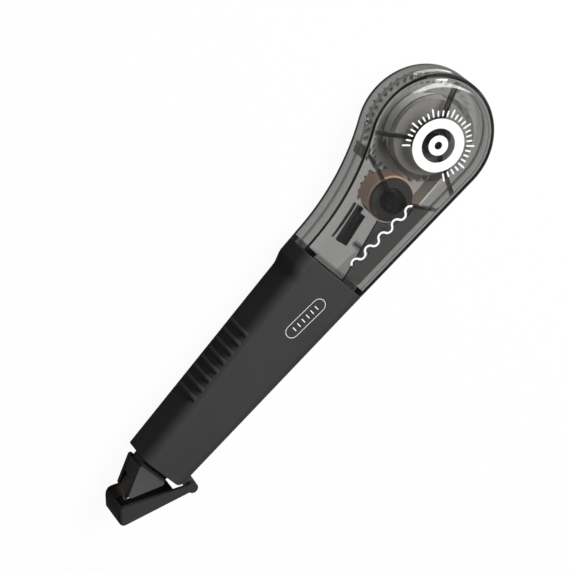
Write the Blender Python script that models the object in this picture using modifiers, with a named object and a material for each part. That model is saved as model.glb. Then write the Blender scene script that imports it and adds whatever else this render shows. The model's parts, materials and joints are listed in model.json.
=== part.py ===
"""Correction tape pen: a smoke-clear head with two geared reels on a black grip with a hinged tip cap.

The pen lies on its back. +X runs from the tip to the head, +Y is the side with the finger ribs and
+Z is the front. Shapes are drawn in the pen's own plan: x from the joint between head and grip,
y from the middle of the head, z from the middle of the thickness. All sizes are in metres.
"""

import math

import bmesh
import bpy
from mathutils import Matrix, Vector

# Clearances
GAP = 0.0003               # between pieces that touch on the real pen
RUN_GAP = 0.0002           # round a post or pin that something turns on

# Tape and reels
TAPE_WIDTH = 0.0050
TAPE_THICK = 0.0003
ROLL_RADIUS = 0.0098       # wound tape on the supply core
CORE_RADIUS = 0.0050
CORE_WALL = 0.0008
FILM_RADIUS = 0.0060       # wound film on the take-up drum
DRUM_RADIUS = 0.0049
DRUM_RIM = 0.0007          # how far the drum's front rim stands out
RIM_THICK = 0.0007
FLANGE_RADIUS = 0.0112
FLANGE_THICK = 0.0006
SUPPLY_POST_RADIUS = 0.0019
TAKE_UP_POST_RADIUS = 0.0016
HUB_WALL = 0.0009
HUB_PROUD = 0.0002         # hub end in front of the flange

# Gears
GEAR_MODULE = 0.0006
SUPPLY_TEETH = 44
TAKE_UP_TEETH = 16
GEAR_THICK = 0.0018
GEAR_BACKLASH = 0.00025
TOOTH_ADDENDUM = 0.8       # in modules
TOOTH_DEDENDUM = 1.25      # in modules
TOOTH_FLANK = math.radians(20)
TAKE_UP_BEARING = math.radians(189)   # direction from the supply axis to the take-up axis

# Head
WALL = 0.0014
EDGE_ROUND = 0.0030        # rounding of the long outer edges
BULB_X = 0.0409            # from the joint to the middle of the bulb
RIM_ROOM = 0.00147         # from the gear's teeth to the wall of the bulb
REEL_ROOM = 0.0007         # from the gears to the tape
FRONT_ROOM = 0.0028        # from the tape to the front wall
NECK_HIGH = 0.0073         # half of the joint on the ribbed side
NECK_LOW = 0.0138          # half of the joint on the plain side
NECK_CURVE = 0.062         # hollow curve between neck and bulb
RIB_WIDTH = 0.0009
BOSS_WALL = 0.0010
TAB_X = 0.0278             # tab that holds the halves together, from the joint to its middle
TAB_LENGTH = 0.0028
TAB_THICK = 0.0009
TAB_ROOT = 0.0026          # below the seam
TAB_HIGH = 0.0016          # above the seam
SUPPLY_RIB_ANGLES = (21, 120, 243)
TAKE_UP_RIB_ANGLES = (70,)
PLATE_RIB_ANGLES = (296,)  # from the take-up boss, over the carrier's plate

# Spigot that joins the head to the grip
SPIGOT_LENGTH = 0.0090
SPIGOT_WALL = 0.0009
SPIGOT_ROUND = 0.0015

# Grip
GRIP_LENGTH = 0.0645
GRIP_WALL = 0.0012
GRIP_END_HIGH = 0.0043
GRIP_END_LOW = 0.0097
END_BLOCK = 0.0045         # solid nose at the lower end
SHOULDER_START = 0.0035
SHOULDER_END = 0.0080
SHOULDER_DROP = 0.0011
CORNER_ROUND = 0.0029      # lower corner beside the hinge
FINGER_RIBS = 8
FINGER_RIB_PITCH = 0.00288
FINGER_RIB_START = 0.0249
FINGER_RIB_RADIUS = 0.00075
FINGER_RIB_PROUD = 0.0004
FINGER_RIB_WRAP = math.radians(52)   # how far a rib runs over the front edge
FINGER_RIB_REAR_WRAP = math.radians(14)   # and over the rear edge
FINGER_RIB_END = 0.35      # thickness of a rib's sunk end, as a share of its middle

# Tip
TIP_GAP = 0.0016           # from the grip's end to the cheeks
TIP_LENGTH = 0.0089        # cheeks, from base to point
TIP_BASE_HIGH = 0.0029
TIP_BASE_LOW = 0.0061
TIP_POINT_Y = -0.0006
TIP_CORNER = 0.0006
CHEEK_ROOM = 0.0007        # from the tape's edge to a cheek
CHEEK_THICK = 0.00145
CHEEK_OVERLAP = 0.0008     # length of the stem's walls inside the cheeks
ROOF_THICK = 0.0005        # roof that joins the cheeks over the blade
ROOF_INSET = 0.0001        # below the cheeks' upper edge
ROOF_SHARE = 0.5           # of the cheeks' length
STEM_HIGH = 0.0020
STEM_LOW = 0.0059
CARRIER_WALL = 0.0009
CARRIER_TOP_LOW = 0.0112   # plain-side wall where it leaves the spigot
CARRIER_TOP_HIGH = 0.0041
BLADE_POINT_RADIUS = 0.00035
BLADE_POINT_OUT = 0.0002   # blade's point in front of the cheeks' point
BLADE_POINT_DROP = 0.00035
BLADE_SHOULDER_RADIUS = 0.0005
BLADE_SHOULDER_HIGH = -0.0003
BLADE_SHOULDER_LOW = -0.0030
BLADE_SHOULDER_BACK = 0.0014   # from the cheeks' base to the shoulders
BLADE_ROOT = 0.0050        # root held in the stem
BLADE_ROOT_INSET = 0.0006

# Neck plate of the carrier, over the tape runs
PLATE_THICK = 0.0009
PLATE_REACH = 0.0274
PLATE_EDGE_ROOM = 0.0016   # from the plain-side wall
PLATE_NECK_Y = -0.0068     # near edge where the plate leaves the spigot
PLATE_RIM_ROOM = 0.0005    # round the take-up rim
PLATE_ARC_FROM = -65
PLATE_ARC_TO = -174

# Guide rollers
ROLLER_RADIUS = 0.0010
GUIDE_PIN_RADIUS = 0.0005
LOWER_GUIDE = (-0.0020, -0.0088)
UPPER_GUIDE = (0.0090, -0.0068)
ROLLER_EXTRA = 0.0002      # roller past the tape's edges

# Pawl beside the take-up gear
PAWL_LENGTH = 0.0103
PAWL_WIDTH = 0.0029
PAWL_SLIT = 0.0005
PAWL_SLIT_LENGTH = 0.0058
PAWL_STEP = 0.0016         # second prong is shorter
PAWL_TILT = math.radians(8.9)
PAWL_PEG_RADIUS = 0.0006
PAWL_PEG_FROM_END = 0.0016
PAWL_AIM = 0.0003          # finger tip above the take-up axis

# Cap
PIVOT_FROM_END = 0.0018
PIVOT_OUT = 0.0017         # pivot outside the grip's plain side
LUG_RADIUS = 0.00145
LUG_ROOT = 0.0036          # from the pivot to the lug's root inside the grip
LUG_LEAN = math.radians(75)
HINGE_PIN_RADIUS = 0.0006
CAP_LEAN = math.radians(146.5)
CAP_REACH = 0.02045
CAP_END_SLANT = 0.00095       # how far the end's upper edge stands back
CAP_TOP_REACH = CAP_REACH - CAP_END_SLANT
CAP_END_TOP = 0.00164
CAP_END_LOW = 0.0034
CAP_ARM_TOP = 0.00095
CAP_ARM_LOW = 0.00075
CAP_KNOB_RADIUS = 0.0014
CAP_CORNER = 0.0020
CAP_LIP_CORNER = 0.0004
CAP_FRONT_ROUND = 0.0007   # rounding between the cap's end and its front side
CAP_REAR_ROUND = 0.0022    # and its rear side
CAP_WALL = 0.0012
CAP_SETBACK = 0.0002       # cap faces behind the grip's faces
CAP_FLOOR_START = 0.0042   # trough floor, from the pivot

# Facets
TURN_STEPS = 48
SMALL_STEPS = 20
BULB_STEPS = 40
NECK_STEPS = 9
ROUND_STEPS = 4
CORNER_STEPS = 5
SHOULDER_STEPS = 5
REACH = 0.1                # cutters that pass right through
BITE = 0.0002              # overlap of pieces that become one
WELD = 0.000002            # points closer than this are one
FLAT = math.radians(0.3)   # faces turned by less than this are one

# Sizes that follow from the ones above
DEPTH = 2 * WALL + GAP + GEAR_THICK + REEL_ROOM + TAPE_WIDTH + FRONT_ROOM
HALF = DEPTH / 2
INNER = HALF - WALL
GEAR_LOW = -INNER + GAP
GEAR_HIGH = GEAR_LOW + GEAR_THICK
TAPE_LOW = GEAR_HIGH + REEL_ROOM
TAPE_HIGH = TAPE_LOW + TAPE_WIDTH
TAPE_MID = (TAPE_LOW + TAPE_HIGH) / 2
FLANGE_LOW = TAPE_HIGH + GAP
HUB_TOP = FLANGE_LOW + FLANGE_THICK + HUB_PROUD
BOSS_LOW = HUB_TOP + GAP
SUPPLY_PITCH = GEAR_MODULE * SUPPLY_TEETH / 2
TAKE_UP_PITCH = GEAR_MODULE * TAKE_UP_TEETH / 2
GEAR_TIP = TOOTH_ADDENDUM * GEAR_MODULE
BULB_RADIUS = SUPPLY_PITCH + GEAR_TIP + RIM_ROOM + WALL
AXLE_SPAN = SUPPLY_PITCH + TAKE_UP_PITCH
SUPPLY = (BULB_X, 0.0)
TAKE_UP = (BULB_X + AXLE_SPAN * math.cos(TAKE_UP_BEARING), AXLE_SPAN * math.sin(TAKE_UP_BEARING))
RIM_RADIUS = DRUM_RADIUS + DRUM_RIM
PLATE_HIGH = HALF - GRIP_WALL - GAP - SPIGOT_WALL - GAP
PLATE_LOW = PLATE_HIGH - PLATE_THICK
CHEEK_INNER = TAPE_WIDTH / 2 + CHEEK_ROOM
TIP_BASE_X = -GRIP_LENGTH - TIP_GAP
STEM_TOP = -GRIP_LENGTH + END_BLOCK + GAP
CAP_HALF = HALF - CAP_SETBACK
CAP_INNER = CAP_HALF - CAP_WALL
LUG_HALF = CAP_INNER - GAP

# Finishes: colour, roughness, metallic, transmission
SMOKE = ((0.30, 0.29, 0.28), 0.08, 0.0, 0.85)
CLEAR = ((0.80, 0.80, 0.78), 0.10, 0.0, 0.85)
BLACK = ((0.018, 0.018, 0.018), 0.50, 0.0, 0.0)
INNER_BLACK = ((0.030, 0.030, 0.032), 0.40, 0.0, 0.0)
GREY = ((0.24, 0.24, 0.235), 0.35, 0.0, 0.0)
WHITE = ((0.86, 0.86, 0.84), 0.55, 0.0, 0.0)
FILM = ((0.52, 0.40, 0.30), 0.25, 0.0, 0.40)
RUBBER = ((0.05, 0.05, 0.05), 0.80, 0.0, 0.0)
STEEL = ((0.60, 0.60, 0.61), 0.30, 1.0, 0.0)


# Plain geometry

def polar(centre, radius, angle):
    """Point on a circle."""
    return (centre[0] + radius * math.cos(angle), centre[1] + radius * math.sin(angle))


def arc(centre, radius, start, end, steps):
    """Points along an arc, both ends included."""
    return [polar(centre, radius, start + (end - start) * i / steps) for i in range(steps + 1)]


def rounded(corners, steps=CORNER_STEPS):
    """Closed outline from (x, y, radius) corners, each replaced by a tangent arc."""
    points = []
    for index, (x, y, radius) in enumerate(corners):
        here = Vector((x, y))
        back = (Vector(corners[index - 1][:2]) - here).normalized()
        ahead = (Vector(corners[(index + 1) % len(corners)][:2]) - here).normalized()
        if radius == 0:
            points.append((x, y))
            continue
        half_angle = back.angle(ahead) / 2
        centre = here + (back + ahead).normalized() * (radius / math.sin(half_angle))
        reach = radius / math.tan(half_angle)
        first = here + back * reach - centre
        last = here + ahead * reach - centre
        start = math.atan2(first.y, first.x)
        turn = math.remainder(math.atan2(last.y, last.x) - start, 2 * math.pi)
        points += arc(centre, radius, start, start + turn, steps)
    return points


def capsule(start, end, radius, steps=SMALL_STEPS):
    """Outline of a bar with round ends."""
    lean = math.atan2(end[1] - start[1], end[0] - start[0])
    half_turn = math.pi / 2
    tail = arc(start, radius, lean + half_turn, lean + 3 * half_turn, steps // 2)
    return tail + arc(end, radius, lean - half_turn, lean + half_turn, steps // 2)


def tangent(first, first_radius, second, second_radius):
    """Ends of a straight run between two circles; a radius is negative where the run passes clockwise."""
    dx = second[0] - first[0]
    dy = second[1] - first[1]
    normal = math.atan2(dy, dx) + math.acos((second_radius - first_radius) / math.hypot(dx, dy))
    return polar(first, -first_radius, normal), polar(second, -second_radius, normal)


def neck_centre():
    """Middle of the hollow curve between neck and bulb."""
    y = NECK_HIGH + NECK_CURVE
    return BULB_X - math.sqrt((BULB_RADIUS + NECK_CURVE) ** 2 - y ** 2), y


def neck_side(x, inset):
    """Point on the hollow curve at x, drawn in by a wall's thickness."""
    neck_x, neck_y = neck_centre()
    return (x, neck_y - math.sqrt((NECK_CURVE + inset) ** 2 - (x - neck_x) ** 2))


def head_outline(inset, start_x):
    """Bulb and neck, seen from the front, drawn in by a wall's thickness."""
    edge = math.atan2(NECK_LOW, BULB_X) - math.asin(BULB_RADIUS / math.hypot(BULB_X, NECK_LOW))
    neck_x, neck_y = neck_centre()
    neck = math.atan2(neck_y, neck_x - BULB_X)
    bulb = arc(SUPPLY, BULB_RADIUS - inset, edge - math.pi / 2, neck, BULB_STEPS)
    hollow = arc((neck_x, neck_y), NECK_CURVE + inset, neck - math.pi, -math.pi / 2, NECK_STEPS)
    low = bulb[0][1] + (start_x - bulb[0][0]) * math.tan(edge)
    return [(start_x, low)] + bulb + hollow[1:] + [(start_x, NECK_HIGH - inset)]


def grip_sides(x):
    """Plain and ribbed sides of the grip at x."""
    along = -min(x, 0.0)
    low = -NECK_LOW + (NECK_LOW - GRIP_END_LOW) * along / GRIP_LENGTH
    shoulder = NECK_HIGH - SHOULDER_DROP
    share = (along - SHOULDER_END) / (GRIP_LENGTH - SHOULDER_END)
    high = shoulder + (GRIP_END_HIGH - shoulder) * share
    if along < SHOULDER_END:
        fall = min(max((along - SHOULDER_START) / (SHOULDER_END - SHOULDER_START), 0.0), 1.0)
        high = NECK_HIGH - SHOULDER_DROP * fall * fall * (3 - 2 * fall)
    return low, high


def gear_outline(teeth, phase):
    """Straight-flanked gear teeth; phase is the direction of the first tooth's middle."""
    pitch = GEAR_MODULE * teeth / 2
    tip = pitch + GEAR_TIP
    root = pitch - TOOTH_DEDENDUM * GEAR_MODULE
    middle = (math.pi * GEAR_MODULE / 2 - GEAR_BACKLASH) / 2
    wide = (middle + (pitch - root) * math.tan(TOOTH_FLANK)) / root
    narrow = (middle - (tip - pitch) * math.tan(TOOTH_FLANK)) / tip
    points = []
    for tooth in range(teeth):
        angle = phase + 2 * math.pi * tooth / teeth
        corners = ((root, -wide), (tip, -narrow), (tip, narrow), (root, wide))
        points += [polar((0, 0), radius, angle + offset) for radius, offset in corners]
    return points


# Meshes

def curve_mesh(curve):
    """Closed mesh of a curve, with its caps welded on; the curve is used up."""
    holder = bpy.data.objects.new(curve.name, curve)
    mesh = bpy.data.meshes.new_from_object(holder)
    bm = bmesh.new()
    bm.from_mesh(mesh)
    bmesh.ops.remove_doubles(bm, verts=bm.verts, dist=WELD)
    bmesh.ops.dissolve_limit(bm, angle_limit=FLAT, verts=bm.verts, edges=bm.edges)
    bmesh.ops.recalc_face_normals(bm, faces=bm.faces)
    bpy.data.meshes.remove(mesh)
    bpy.data.objects.remove(holder)
    bpy.data.curves.remove(curve)
    return bm


def prism(outline, low, high):
    """Flat outline raised from low to high."""
    curve = bpy.data.curves.new("outline", "CURVE")
    curve.dimensions = "2D"
    curve.fill_mode = "BOTH"
    curve.extrude = (high - low) / 2
    line = curve.splines.new("POLY")
    line.points.add(len(outline) - 1)
    for point, (x, y) in zip(line.points, outline):
        point.co = (x, y, 0, 1)
    line.use_cyclic_u = True
    bm = curve_mesh(curve)
    bmesh.ops.translate(bm, verts=bm.verts, vec=(0, 0, (low + high) / 2))
    return bm


def tube(path, radius):
    """Closed round tube along (point, share of the radius) stations."""
    curve = bpy.data.curves.new("tube", "CURVE")
    curve.dimensions = "3D"
    curve.bevel_depth = radius
    curve.bevel_resolution = 2
    curve.use_fill_caps = True
    line = curve.splines.new("POLY")
    line.points.add(len(path) - 1)
    for point, (place, share) in zip(line.points, path):
        point.co = (*place, 1)
        point.radius = share
    return curve_mesh(curve)


def rod(centre, radius, low, high, steps=SMALL_STEPS):
    """Upright cylinder."""
    bm = bmesh.new()
    middle = Matrix.Translation((centre[0], centre[1], (low + high) / 2))
    bmesh.ops.create_cone(bm, cap_ends=True, segments=steps, radius1=radius, radius2=radius,
                          depth=high - low, matrix=middle)
    return bm


def loft(rings):
    """Skin over matching rings of points, closed at both ends."""
    bm = bmesh.new()
    loops = [[bm.verts.new(point) for point in ring] for ring in rings]
    for near, far in zip(loops, loops[1:]):
        for index in range(len(near)):
            after = (index + 1) % len(near)
            bm.faces.new((near[index], near[after], far[after], far[index]))
    bm.faces.new(loops[0])
    bm.faces.new(list(reversed(loops[-1])))
    bmesh.ops.recalc_face_normals(bm, faces=bm.faces)
    return bm


def tube_section(x, low, high, half, radius):
    """Ring of points: a rounded rectangle across the pen."""
    corners = ((low, -half, radius), (high, -half, radius), (high, half, radius), (low, half, radius))
    return [(x, y, z) for y, z in rounded(corners)]


def head_half(inset, start_x, face, radius, side):
    """Half of the head's solid, from the seam to the face, with its face edge rounded."""
    bm = prism(head_outline(inset, start_x), 0.0, face)
    rim = [edge for edge in bm.edges if all(abs(vert.co.z - face) < WELD for vert in edge.verts)]
    bmesh.ops.bevel(bm, geom=rim, offset=radius, segments=ROUND_STEPS, profile=0.5, affect="EDGES")
    bmesh.ops.scale(bm, verts=bm.verts, vec=(1, 1, side))
    bmesh.ops.recalc_face_normals(bm, faces=bm.faces)
    return bm


# Scene

def new_collection(name):
    """Empty collection in the scene."""
    collection = bpy.data.collections.new(name)
    bpy.context.scene.collection.children.link(collection)
    return collection


def new_empty(name, location, parent=None, turn=0.0):
    """Axis or frame that pieces are placed on."""
    empty = bpy.data.objects.new(name, None)
    empty.location = location
    empty.rotation_euler = (0, 0, turn)
    empty.empty_display_size = 0.005
    empty.parent = parent
    PARTS.objects.link(empty)
    return empty


def new_material(name, finish):
    """Principled material of one piece."""
    colour, roughness, metallic, transmission = finish
    material = bpy.data.materials.new(name)
    material.use_nodes = True
    shader = material.node_tree.nodes["Principled BSDF"]
    shader.inputs["Base Color"].default_value = (*colour, 1.0)
    shader.inputs["Roughness"].default_value = roughness
    shader.inputs["Metallic"].default_value = metallic
    shader.inputs["Transmission Weight"].default_value = transmission
    return material


def new_object(name, bm, parent, collection):
    """Object from a finished bmesh."""
    mesh = bpy.data.meshes.new(name)
    bm.to_mesh(mesh)
    bm.free()
    obj = bpy.data.objects.new(name, mesh)
    obj.parent = parent
    collection.objects.link(obj)
    return obj


def piece(name, bm, parent, finish):
    """Sub-part of the pen."""
    obj = new_object(name, bm, parent, PARTS)
    obj.data.materials.append(new_material(name, finish))
    return obj


def tool(name, bm, parent):
    """Shape that only cuts or extends another."""
    obj = new_object(name, bm, parent, TOOLS)
    obj.hide_render = True
    obj.display_type = "WIRE"
    return obj


def combine(target, operation, *tools):
    """Boolean steps on a piece, in order."""
    for other in tools:
        step = target.modifiers.new(other.name, "BOOLEAN")
        step.operation = operation
        step.solver = "EXACT"
        step.object = other


def turned(name, profile, parent, finish, steps=TURN_STEPS):
    """Ring turned from a closed (radius, z) profile that runs down its outer side."""
    mesh = bpy.data.meshes.new(name)
    edges = [(index, (index + 1) % len(profile)) for index in range(len(profile))]
    mesh.from_pydata([(radius, 0, z) for radius, z in profile], edges, [])
    obj = bpy.data.objects.new(name, mesh)
    obj.parent = parent
    PARTS.objects.link(obj)
    screw = obj.modifiers.new("turn", "SCREW")
    screw.axis = "Z"
    screw.steps = steps
    screw.render_steps = steps
    screw.use_smooth_shade = False
    screw.use_merge_vertices = True
    screw.merge_threshold = 0.00001
    obj.data.materials.append(new_material(name, finish))
    return obj


def ring_profile(inner, outer, low, high):
    """Square section of a ring."""
    return [(outer, high), (outer, low), (inner, low), (inner, high)]


# Head

def spigot(name, inset, start_x, end_x, half_low, half_high, frame):
    """Length of the spigot's rounded section, cut to one half of the pen."""
    low, high = grip_sides(-SPIGOT_LENGTH)
    fit = GRIP_WALL + GAP + inset
    radius = max(SPIGOT_ROUND - inset, BITE)
    rings = [tube_section(x, low + fit, high - fit, HALF - fit, radius) for x in (start_x, end_x)]
    solid = tool(name, loft(rings), frame)
    slab = [(-REACH, -REACH), (REACH, -REACH), (REACH, REACH), (-REACH, REACH)]
    combine(solid, "INTERSECT", tool(name + "_half", prism(slab, half_low, half_high), frame))
    return solid


def shell(name, side, frame):
    """One half of the head: rounded outside, hollow, open into its half of the spigot."""
    seam = side * GAP / 2
    far = side * REACH
    low = min(seam, far)
    high = max(seam, far)
    body = piece(name, head_half(0.0, -EDGE_ROUND * 2, HALF, EDGE_ROUND, side), frame, SMOKE)
    front = [(0, -REACH), (REACH, -REACH), (REACH, REACH), (0, REACH)]
    combine(body, "INTERSECT", tool(name + "_limit", prism(front, low, high), frame))
    combine(body, "UNION", spigot(name + "_spigot", 0.0, -SPIGOT_LENGTH, WALL / 2, low, high, frame))
    hollow = head_half(WALL, WALL, INNER, EDGE_ROUND - WALL, side)
    deep = tool(name + "_hollow", hollow, frame)
    for vert in deep.data.vertices:
        if abs(vert.co.z) < BITE:
            vert.co.z = -side * GAP
    combine(body, "DIFFERENCE", deep)
    bore = spigot(name + "_bore", SPIGOT_WALL, -SPIGOT_LENGTH - WALL, WALL * 2, -REACH, REACH, frame)
    combine(body, "DIFFERENCE", bore)
    return body


def front_ribs(frame):
    """Bearing bosses and the stiffening ribs that run from them to the wall."""
    high = INNER + BITE
    grid = None
    sets = ((SUPPLY, SUPPLY_RIB_ANGLES, BOSS_LOW), (TAKE_UP, TAKE_UP_RIB_ANGLES, BOSS_LOW),
            (TAKE_UP, PLATE_RIB_ANGLES, PLATE_HIGH + GAP))
    for centre, angles, low in sets:
        for angle in angles:
            far = polar(centre, BULB_RADIUS * 2, math.radians(angle))
            line = capsule(centre, far, RIB_WIDTH / 2, ROUND_STEPS)
            bar = tool(f"rib_{angle}", prism(line, low, high), frame)
            if grid is None:
                grid = bar
            else:
                combine(grid, "UNION", bar)
    wall = prism(head_outline(WALL / 2, WALL / 2), -HALF, HALF)
    combine(grid, "INTERSECT", tool("rib_limit", wall, frame))
    return grid


def front_shell(frame):
    """Front half of the head, which closes over the ends of the reel posts."""
    body = shell("front_shell", 1, frame)
    combine(body, "UNION", front_ribs(frame))
    posts = (("supply", SUPPLY, SUPPLY_POST_RADIUS), ("take_up", TAKE_UP, TAKE_UP_POST_RADIUS))
    for label, centre, post in posts:
        socket = post + GAP
        boss = rod(centre, socket + BOSS_WALL, BOSS_LOW, INNER + BITE)
        combine(body, "UNION", tool(label + "_boss", boss, frame))
        hole = rod(centre, socket, BOSS_LOW - GAP, INNER)
        combine(body, "DIFFERENCE", tool(label + "_socket", hole, frame))


def tab_outline(outer):
    """Plan of the tab beside the neck's wall, from an outer inset to the tab's inner face."""
    start = TAB_X - TAB_LENGTH / 2
    end = TAB_X + TAB_LENGTH / 2
    inner = WALL + GAP + TAB_THICK
    return [neck_side(start, outer), neck_side(start, inner), neck_side(end, inner), neck_side(end, outer)]


def rear_shell(frame):
    """Back half of the head, which carries the reel posts, the pawl's peg and the tab."""
    body = shell("rear_shell", -1, frame)
    root = prism(tab_outline(WALL - BITE), -TAB_ROOT, -GAP)
    combine(body, "UNION", tool("tab_root", root, frame))
    combine(body, "UNION", tool("tab", prism(tab_outline(WALL + GAP), -TAB_ROOT - BITE, TAB_HIGH), frame))
    floor = -INNER - BITE
    combine(body, "UNION", tool("supply_post", rod(SUPPLY, SUPPLY_POST_RADIUS, floor, INNER - GAP), frame))
    combine(body, "UNION", tool("take_up_post", rod(TAKE_UP, TAKE_UP_POST_RADIUS, floor, INNER - GAP), frame))
    combine(body, "UNION", tool("pawl_peg", rod(pawl_peg(), PAWL_PEG_RADIUS, floor, GEAR_HIGH + GAP), frame))


# Grip

def grip_solid(inset, start_x, end_x):
    """Loft through the grip's sections, drawn in by a wall's thickness."""
    fall = (SHOULDER_END - SHOULDER_START) / SHOULDER_STEPS
    stations = [-SHOULDER_START - fall * step for step in range(SHOULDER_STEPS + 1)]
    rings = []
    for x in [start_x] + [x for x in stations if end_x < x < start_x] + [end_x]:
        low, high = grip_sides(x)
        radius = max(EDGE_ROUND - inset, BITE)
        rings.append(tube_section(x, low + inset, high - inset, HALF - inset, radius))
    return loft(rings)


def pivot():
    """Axis of the cap's hinge."""
    x = -GRIP_LENGTH + PIVOT_FROM_END
    return (x, grip_sides(x)[0] - PIVOT_OUT)


def corner_cutter():
    """Rounds the lower corner of the grip beside the hinge."""
    end = -GRIP_LENGTH
    low = grip_sides(end)[0]
    middle = (end + CORNER_ROUND, low + CORNER_ROUND)
    curve = arc(middle, CORNER_ROUND, math.pi, math.pi * 3 / 2, ROUND_STEPS * 2)
    below = low - CORNER_ROUND
    beyond = end - CORNER_ROUND
    return prism([(beyond, middle[1])] + curve + [(middle[0], below), (beyond, below)], -REACH, REACH)


def finger_rib(x):
    """Low round rib across the ribbed side, which runs over the rounded edges and sinks in there."""
    front = finger_rib_half(x, 1, FINGER_RIB_WRAP)
    rear = finger_rib_half(x, -1, FINGER_RIB_REAR_WRAP)
    return tube(rear[::-1] + front, FINGER_RIB_RADIUS)


def finger_rib_half(x, side, wrap):
    """Path of half a rib over one rounded edge: points with the share of the rib's thickness."""
    sunk = FINGER_RIB_RADIUS - FINGER_RIB_PROUD
    edge = (grip_sides(x)[1] - EDGE_ROUND, HALF - EDGE_ROUND)
    path = []
    for step in range(ROUND_STEPS + 1):
        share = step / ROUND_STEPS
        y, z = polar(edge, EDGE_ROUND - sunk * (1 + share), wrap * share)
        path.append(((x, y, side * z), 1 - (1 - FINGER_RIB_END) * share ** 4))
    return path


def grip_sleeve(frame):
    """Tapered tube with a solid nose, the hinge lug and the finger ribs."""
    sleeve = piece("grip_sleeve", grip_solid(0.0, -GAP, -GRIP_LENGTH), frame, BLACK)
    hinge = pivot()
    combine(sleeve, "DIFFERENCE", tool("grip_corner", corner_cutter(), frame))
    root = polar(hinge, LUG_ROOT, LUG_LEAN)
    lug = prism(capsule(hinge, root, LUG_RADIUS), -LUG_HALF, LUG_HALF)
    combine(sleeve, "UNION", tool("hinge_lug", lug, frame))
    hollow = grip_solid(GRIP_WALL, WALL, -GRIP_LENGTH + END_BLOCK)
    combine(sleeve, "DIFFERENCE", tool("grip_hollow", hollow, frame))
    outside = -GRIP_LENGTH - WALL
    inside = -GRIP_LENGTH + END_BLOCK + WALL
    low = -STEM_LOW - GAP
    high = STEM_HIGH + GAP
    mouth = [(outside, low), (inside, low), (inside, high), (outside, high)]
    deep = PLATE_HIGH + GAP
    combine(sleeve, "DIFFERENCE", tool("stem_mouth", prism(mouth, -deep, deep), frame))
    bore = rod(hinge, HINGE_PIN_RADIUS + RUN_GAP, -REACH, REACH)
    combine(sleeve, "DIFFERENCE", tool("lug_bore", bore, frame))
    for index in range(FINGER_RIBS):
        rib = finger_rib(-FINGER_RIB_START - FINGER_RIB_PITCH * index)
        combine(sleeve, "UNION", tool(f"finger_rib_{index}", rib, frame))


# Tip

def cheek_outline():
    """Triangle of a tip cheek."""
    return rounded([(TIP_BASE_X, -TIP_BASE_LOW, TIP_CORNER), (TIP_BASE_X, TIP_BASE_HIGH, TIP_CORNER),
                    (TIP_BASE_X - TIP_LENGTH, TIP_POINT_Y, TIP_CORNER)])


def roof_outline():
    """Strip along the upper edge of the cheeks."""
    base = Vector((TIP_BASE_X, TIP_BASE_HIGH))
    edge = Vector((TIP_BASE_X - TIP_LENGTH, TIP_POINT_Y)) - base
    down = Vector((-edge.y, edge.x)).normalized()
    start = base + edge.normalized() * TIP_CORNER + down * ROOF_INSET
    end = base + edge * ROOF_SHARE + down * ROOF_INSET
    thick = down * ROOF_THICK
    return [tuple(point) for point in (start, start + thick, end + thick, end)]


def plate_outline():
    """Flat web of the carrier: a plate over the tape runs in the neck, then the channel's web."""
    stem_end = TIP_BASE_X - CHEEK_OVERLAP
    low, _ = grip_sides(-SPIGOT_LENGTH)
    inside = low + GRIP_WALL + GAP + SPIGOT_WALL + GAP
    edge = head_outline(WALL + PLATE_EDGE_ROOM, WALL + GAP)
    slope = (edge[1][1] - edge[0][1]) / (edge[1][0] - edge[0][0])
    end_y = edge[0][1] + slope * (PLATE_REACH - edge[0][0])
    relief = RIM_RADIUS + PLATE_RIM_ROOM
    hollow = arc(TAKE_UP, relief, math.radians(PLATE_ARC_FROM), math.radians(PLATE_ARC_TO), CORNER_STEPS * 2)
    return ([(stem_end, -STEM_LOW), (STEM_TOP, -STEM_LOW), (carrier_top(), -CARRIER_TOP_LOW),
             (-SPIGOT_LENGTH, inside), (WALL, inside), edge[0], (PLATE_REACH, end_y)] + hollow
            + [(WALL, PLATE_NECK_Y), (carrier_top(), -CARRIER_TOP_HIGH),
               (STEM_TOP, STEM_HIGH), (stem_end, STEM_HIGH)])


def carrier_top():
    """Where the channel's walls start, below the spigot."""
    return -SPIGOT_LENGTH - GAP - CARRIER_WALL


def channel_wall(top, stem, inward):
    """Side wall of the channel from the spigot to the cheeks."""
    end = TIP_BASE_X - CHEEK_OVERLAP
    line = [(carrier_top(), top), (STEM_TOP, stem), (end, stem)]
    return line + [(x, y + inward * CARRIER_WALL) for x, y in reversed(line)]


def tip_carrier(frame):
    """Channel through the grip, with the neck plate at one end and the tip cheeks at the other."""
    carrier = piece("tip_carrier", prism(plate_outline(), PLATE_LOW, PLATE_HIGH), frame, INNER_BLACK)
    walls = (("plain_wall", -CARRIER_TOP_LOW, -STEM_LOW, 1),
             ("ribbed_wall", -CARRIER_TOP_HIGH, STEM_HIGH, -1))
    for label, top, stem, inward in walls:
        outline = channel_wall(top, stem, inward)
        combine(carrier, "UNION", tool(label, prism(outline, -PLATE_HIGH, PLATE_HIGH - BITE), frame))
    near = TAPE_MID + CHEEK_INNER
    combine(carrier, "UNION", tool("front_cheek", prism(cheek_outline(), near, near + CHEEK_THICK), frame))
    near = TAPE_MID - CHEEK_INNER
    combine(carrier, "UNION", tool("rear_cheek", prism(cheek_outline(), near - CHEEK_THICK, near), frame))
    half = CHEEK_INNER + BITE
    roof = prism(roof_outline(), TAPE_MID - half, TAPE_MID + half)
    combine(carrier, "UNION", tool("tip_roof", roof, frame))
    for label, centre in (("lower_pin_hole", LOWER_GUIDE), ("upper_pin_hole", UPPER_GUIDE)):
        hole = rod(centre, GUIDE_PIN_RADIUS + RUN_GAP, PLATE_LOW - GAP, PLATE_HIGH + GAP)
        combine(carrier, "DIFFERENCE", tool(label, hole, frame))


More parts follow.
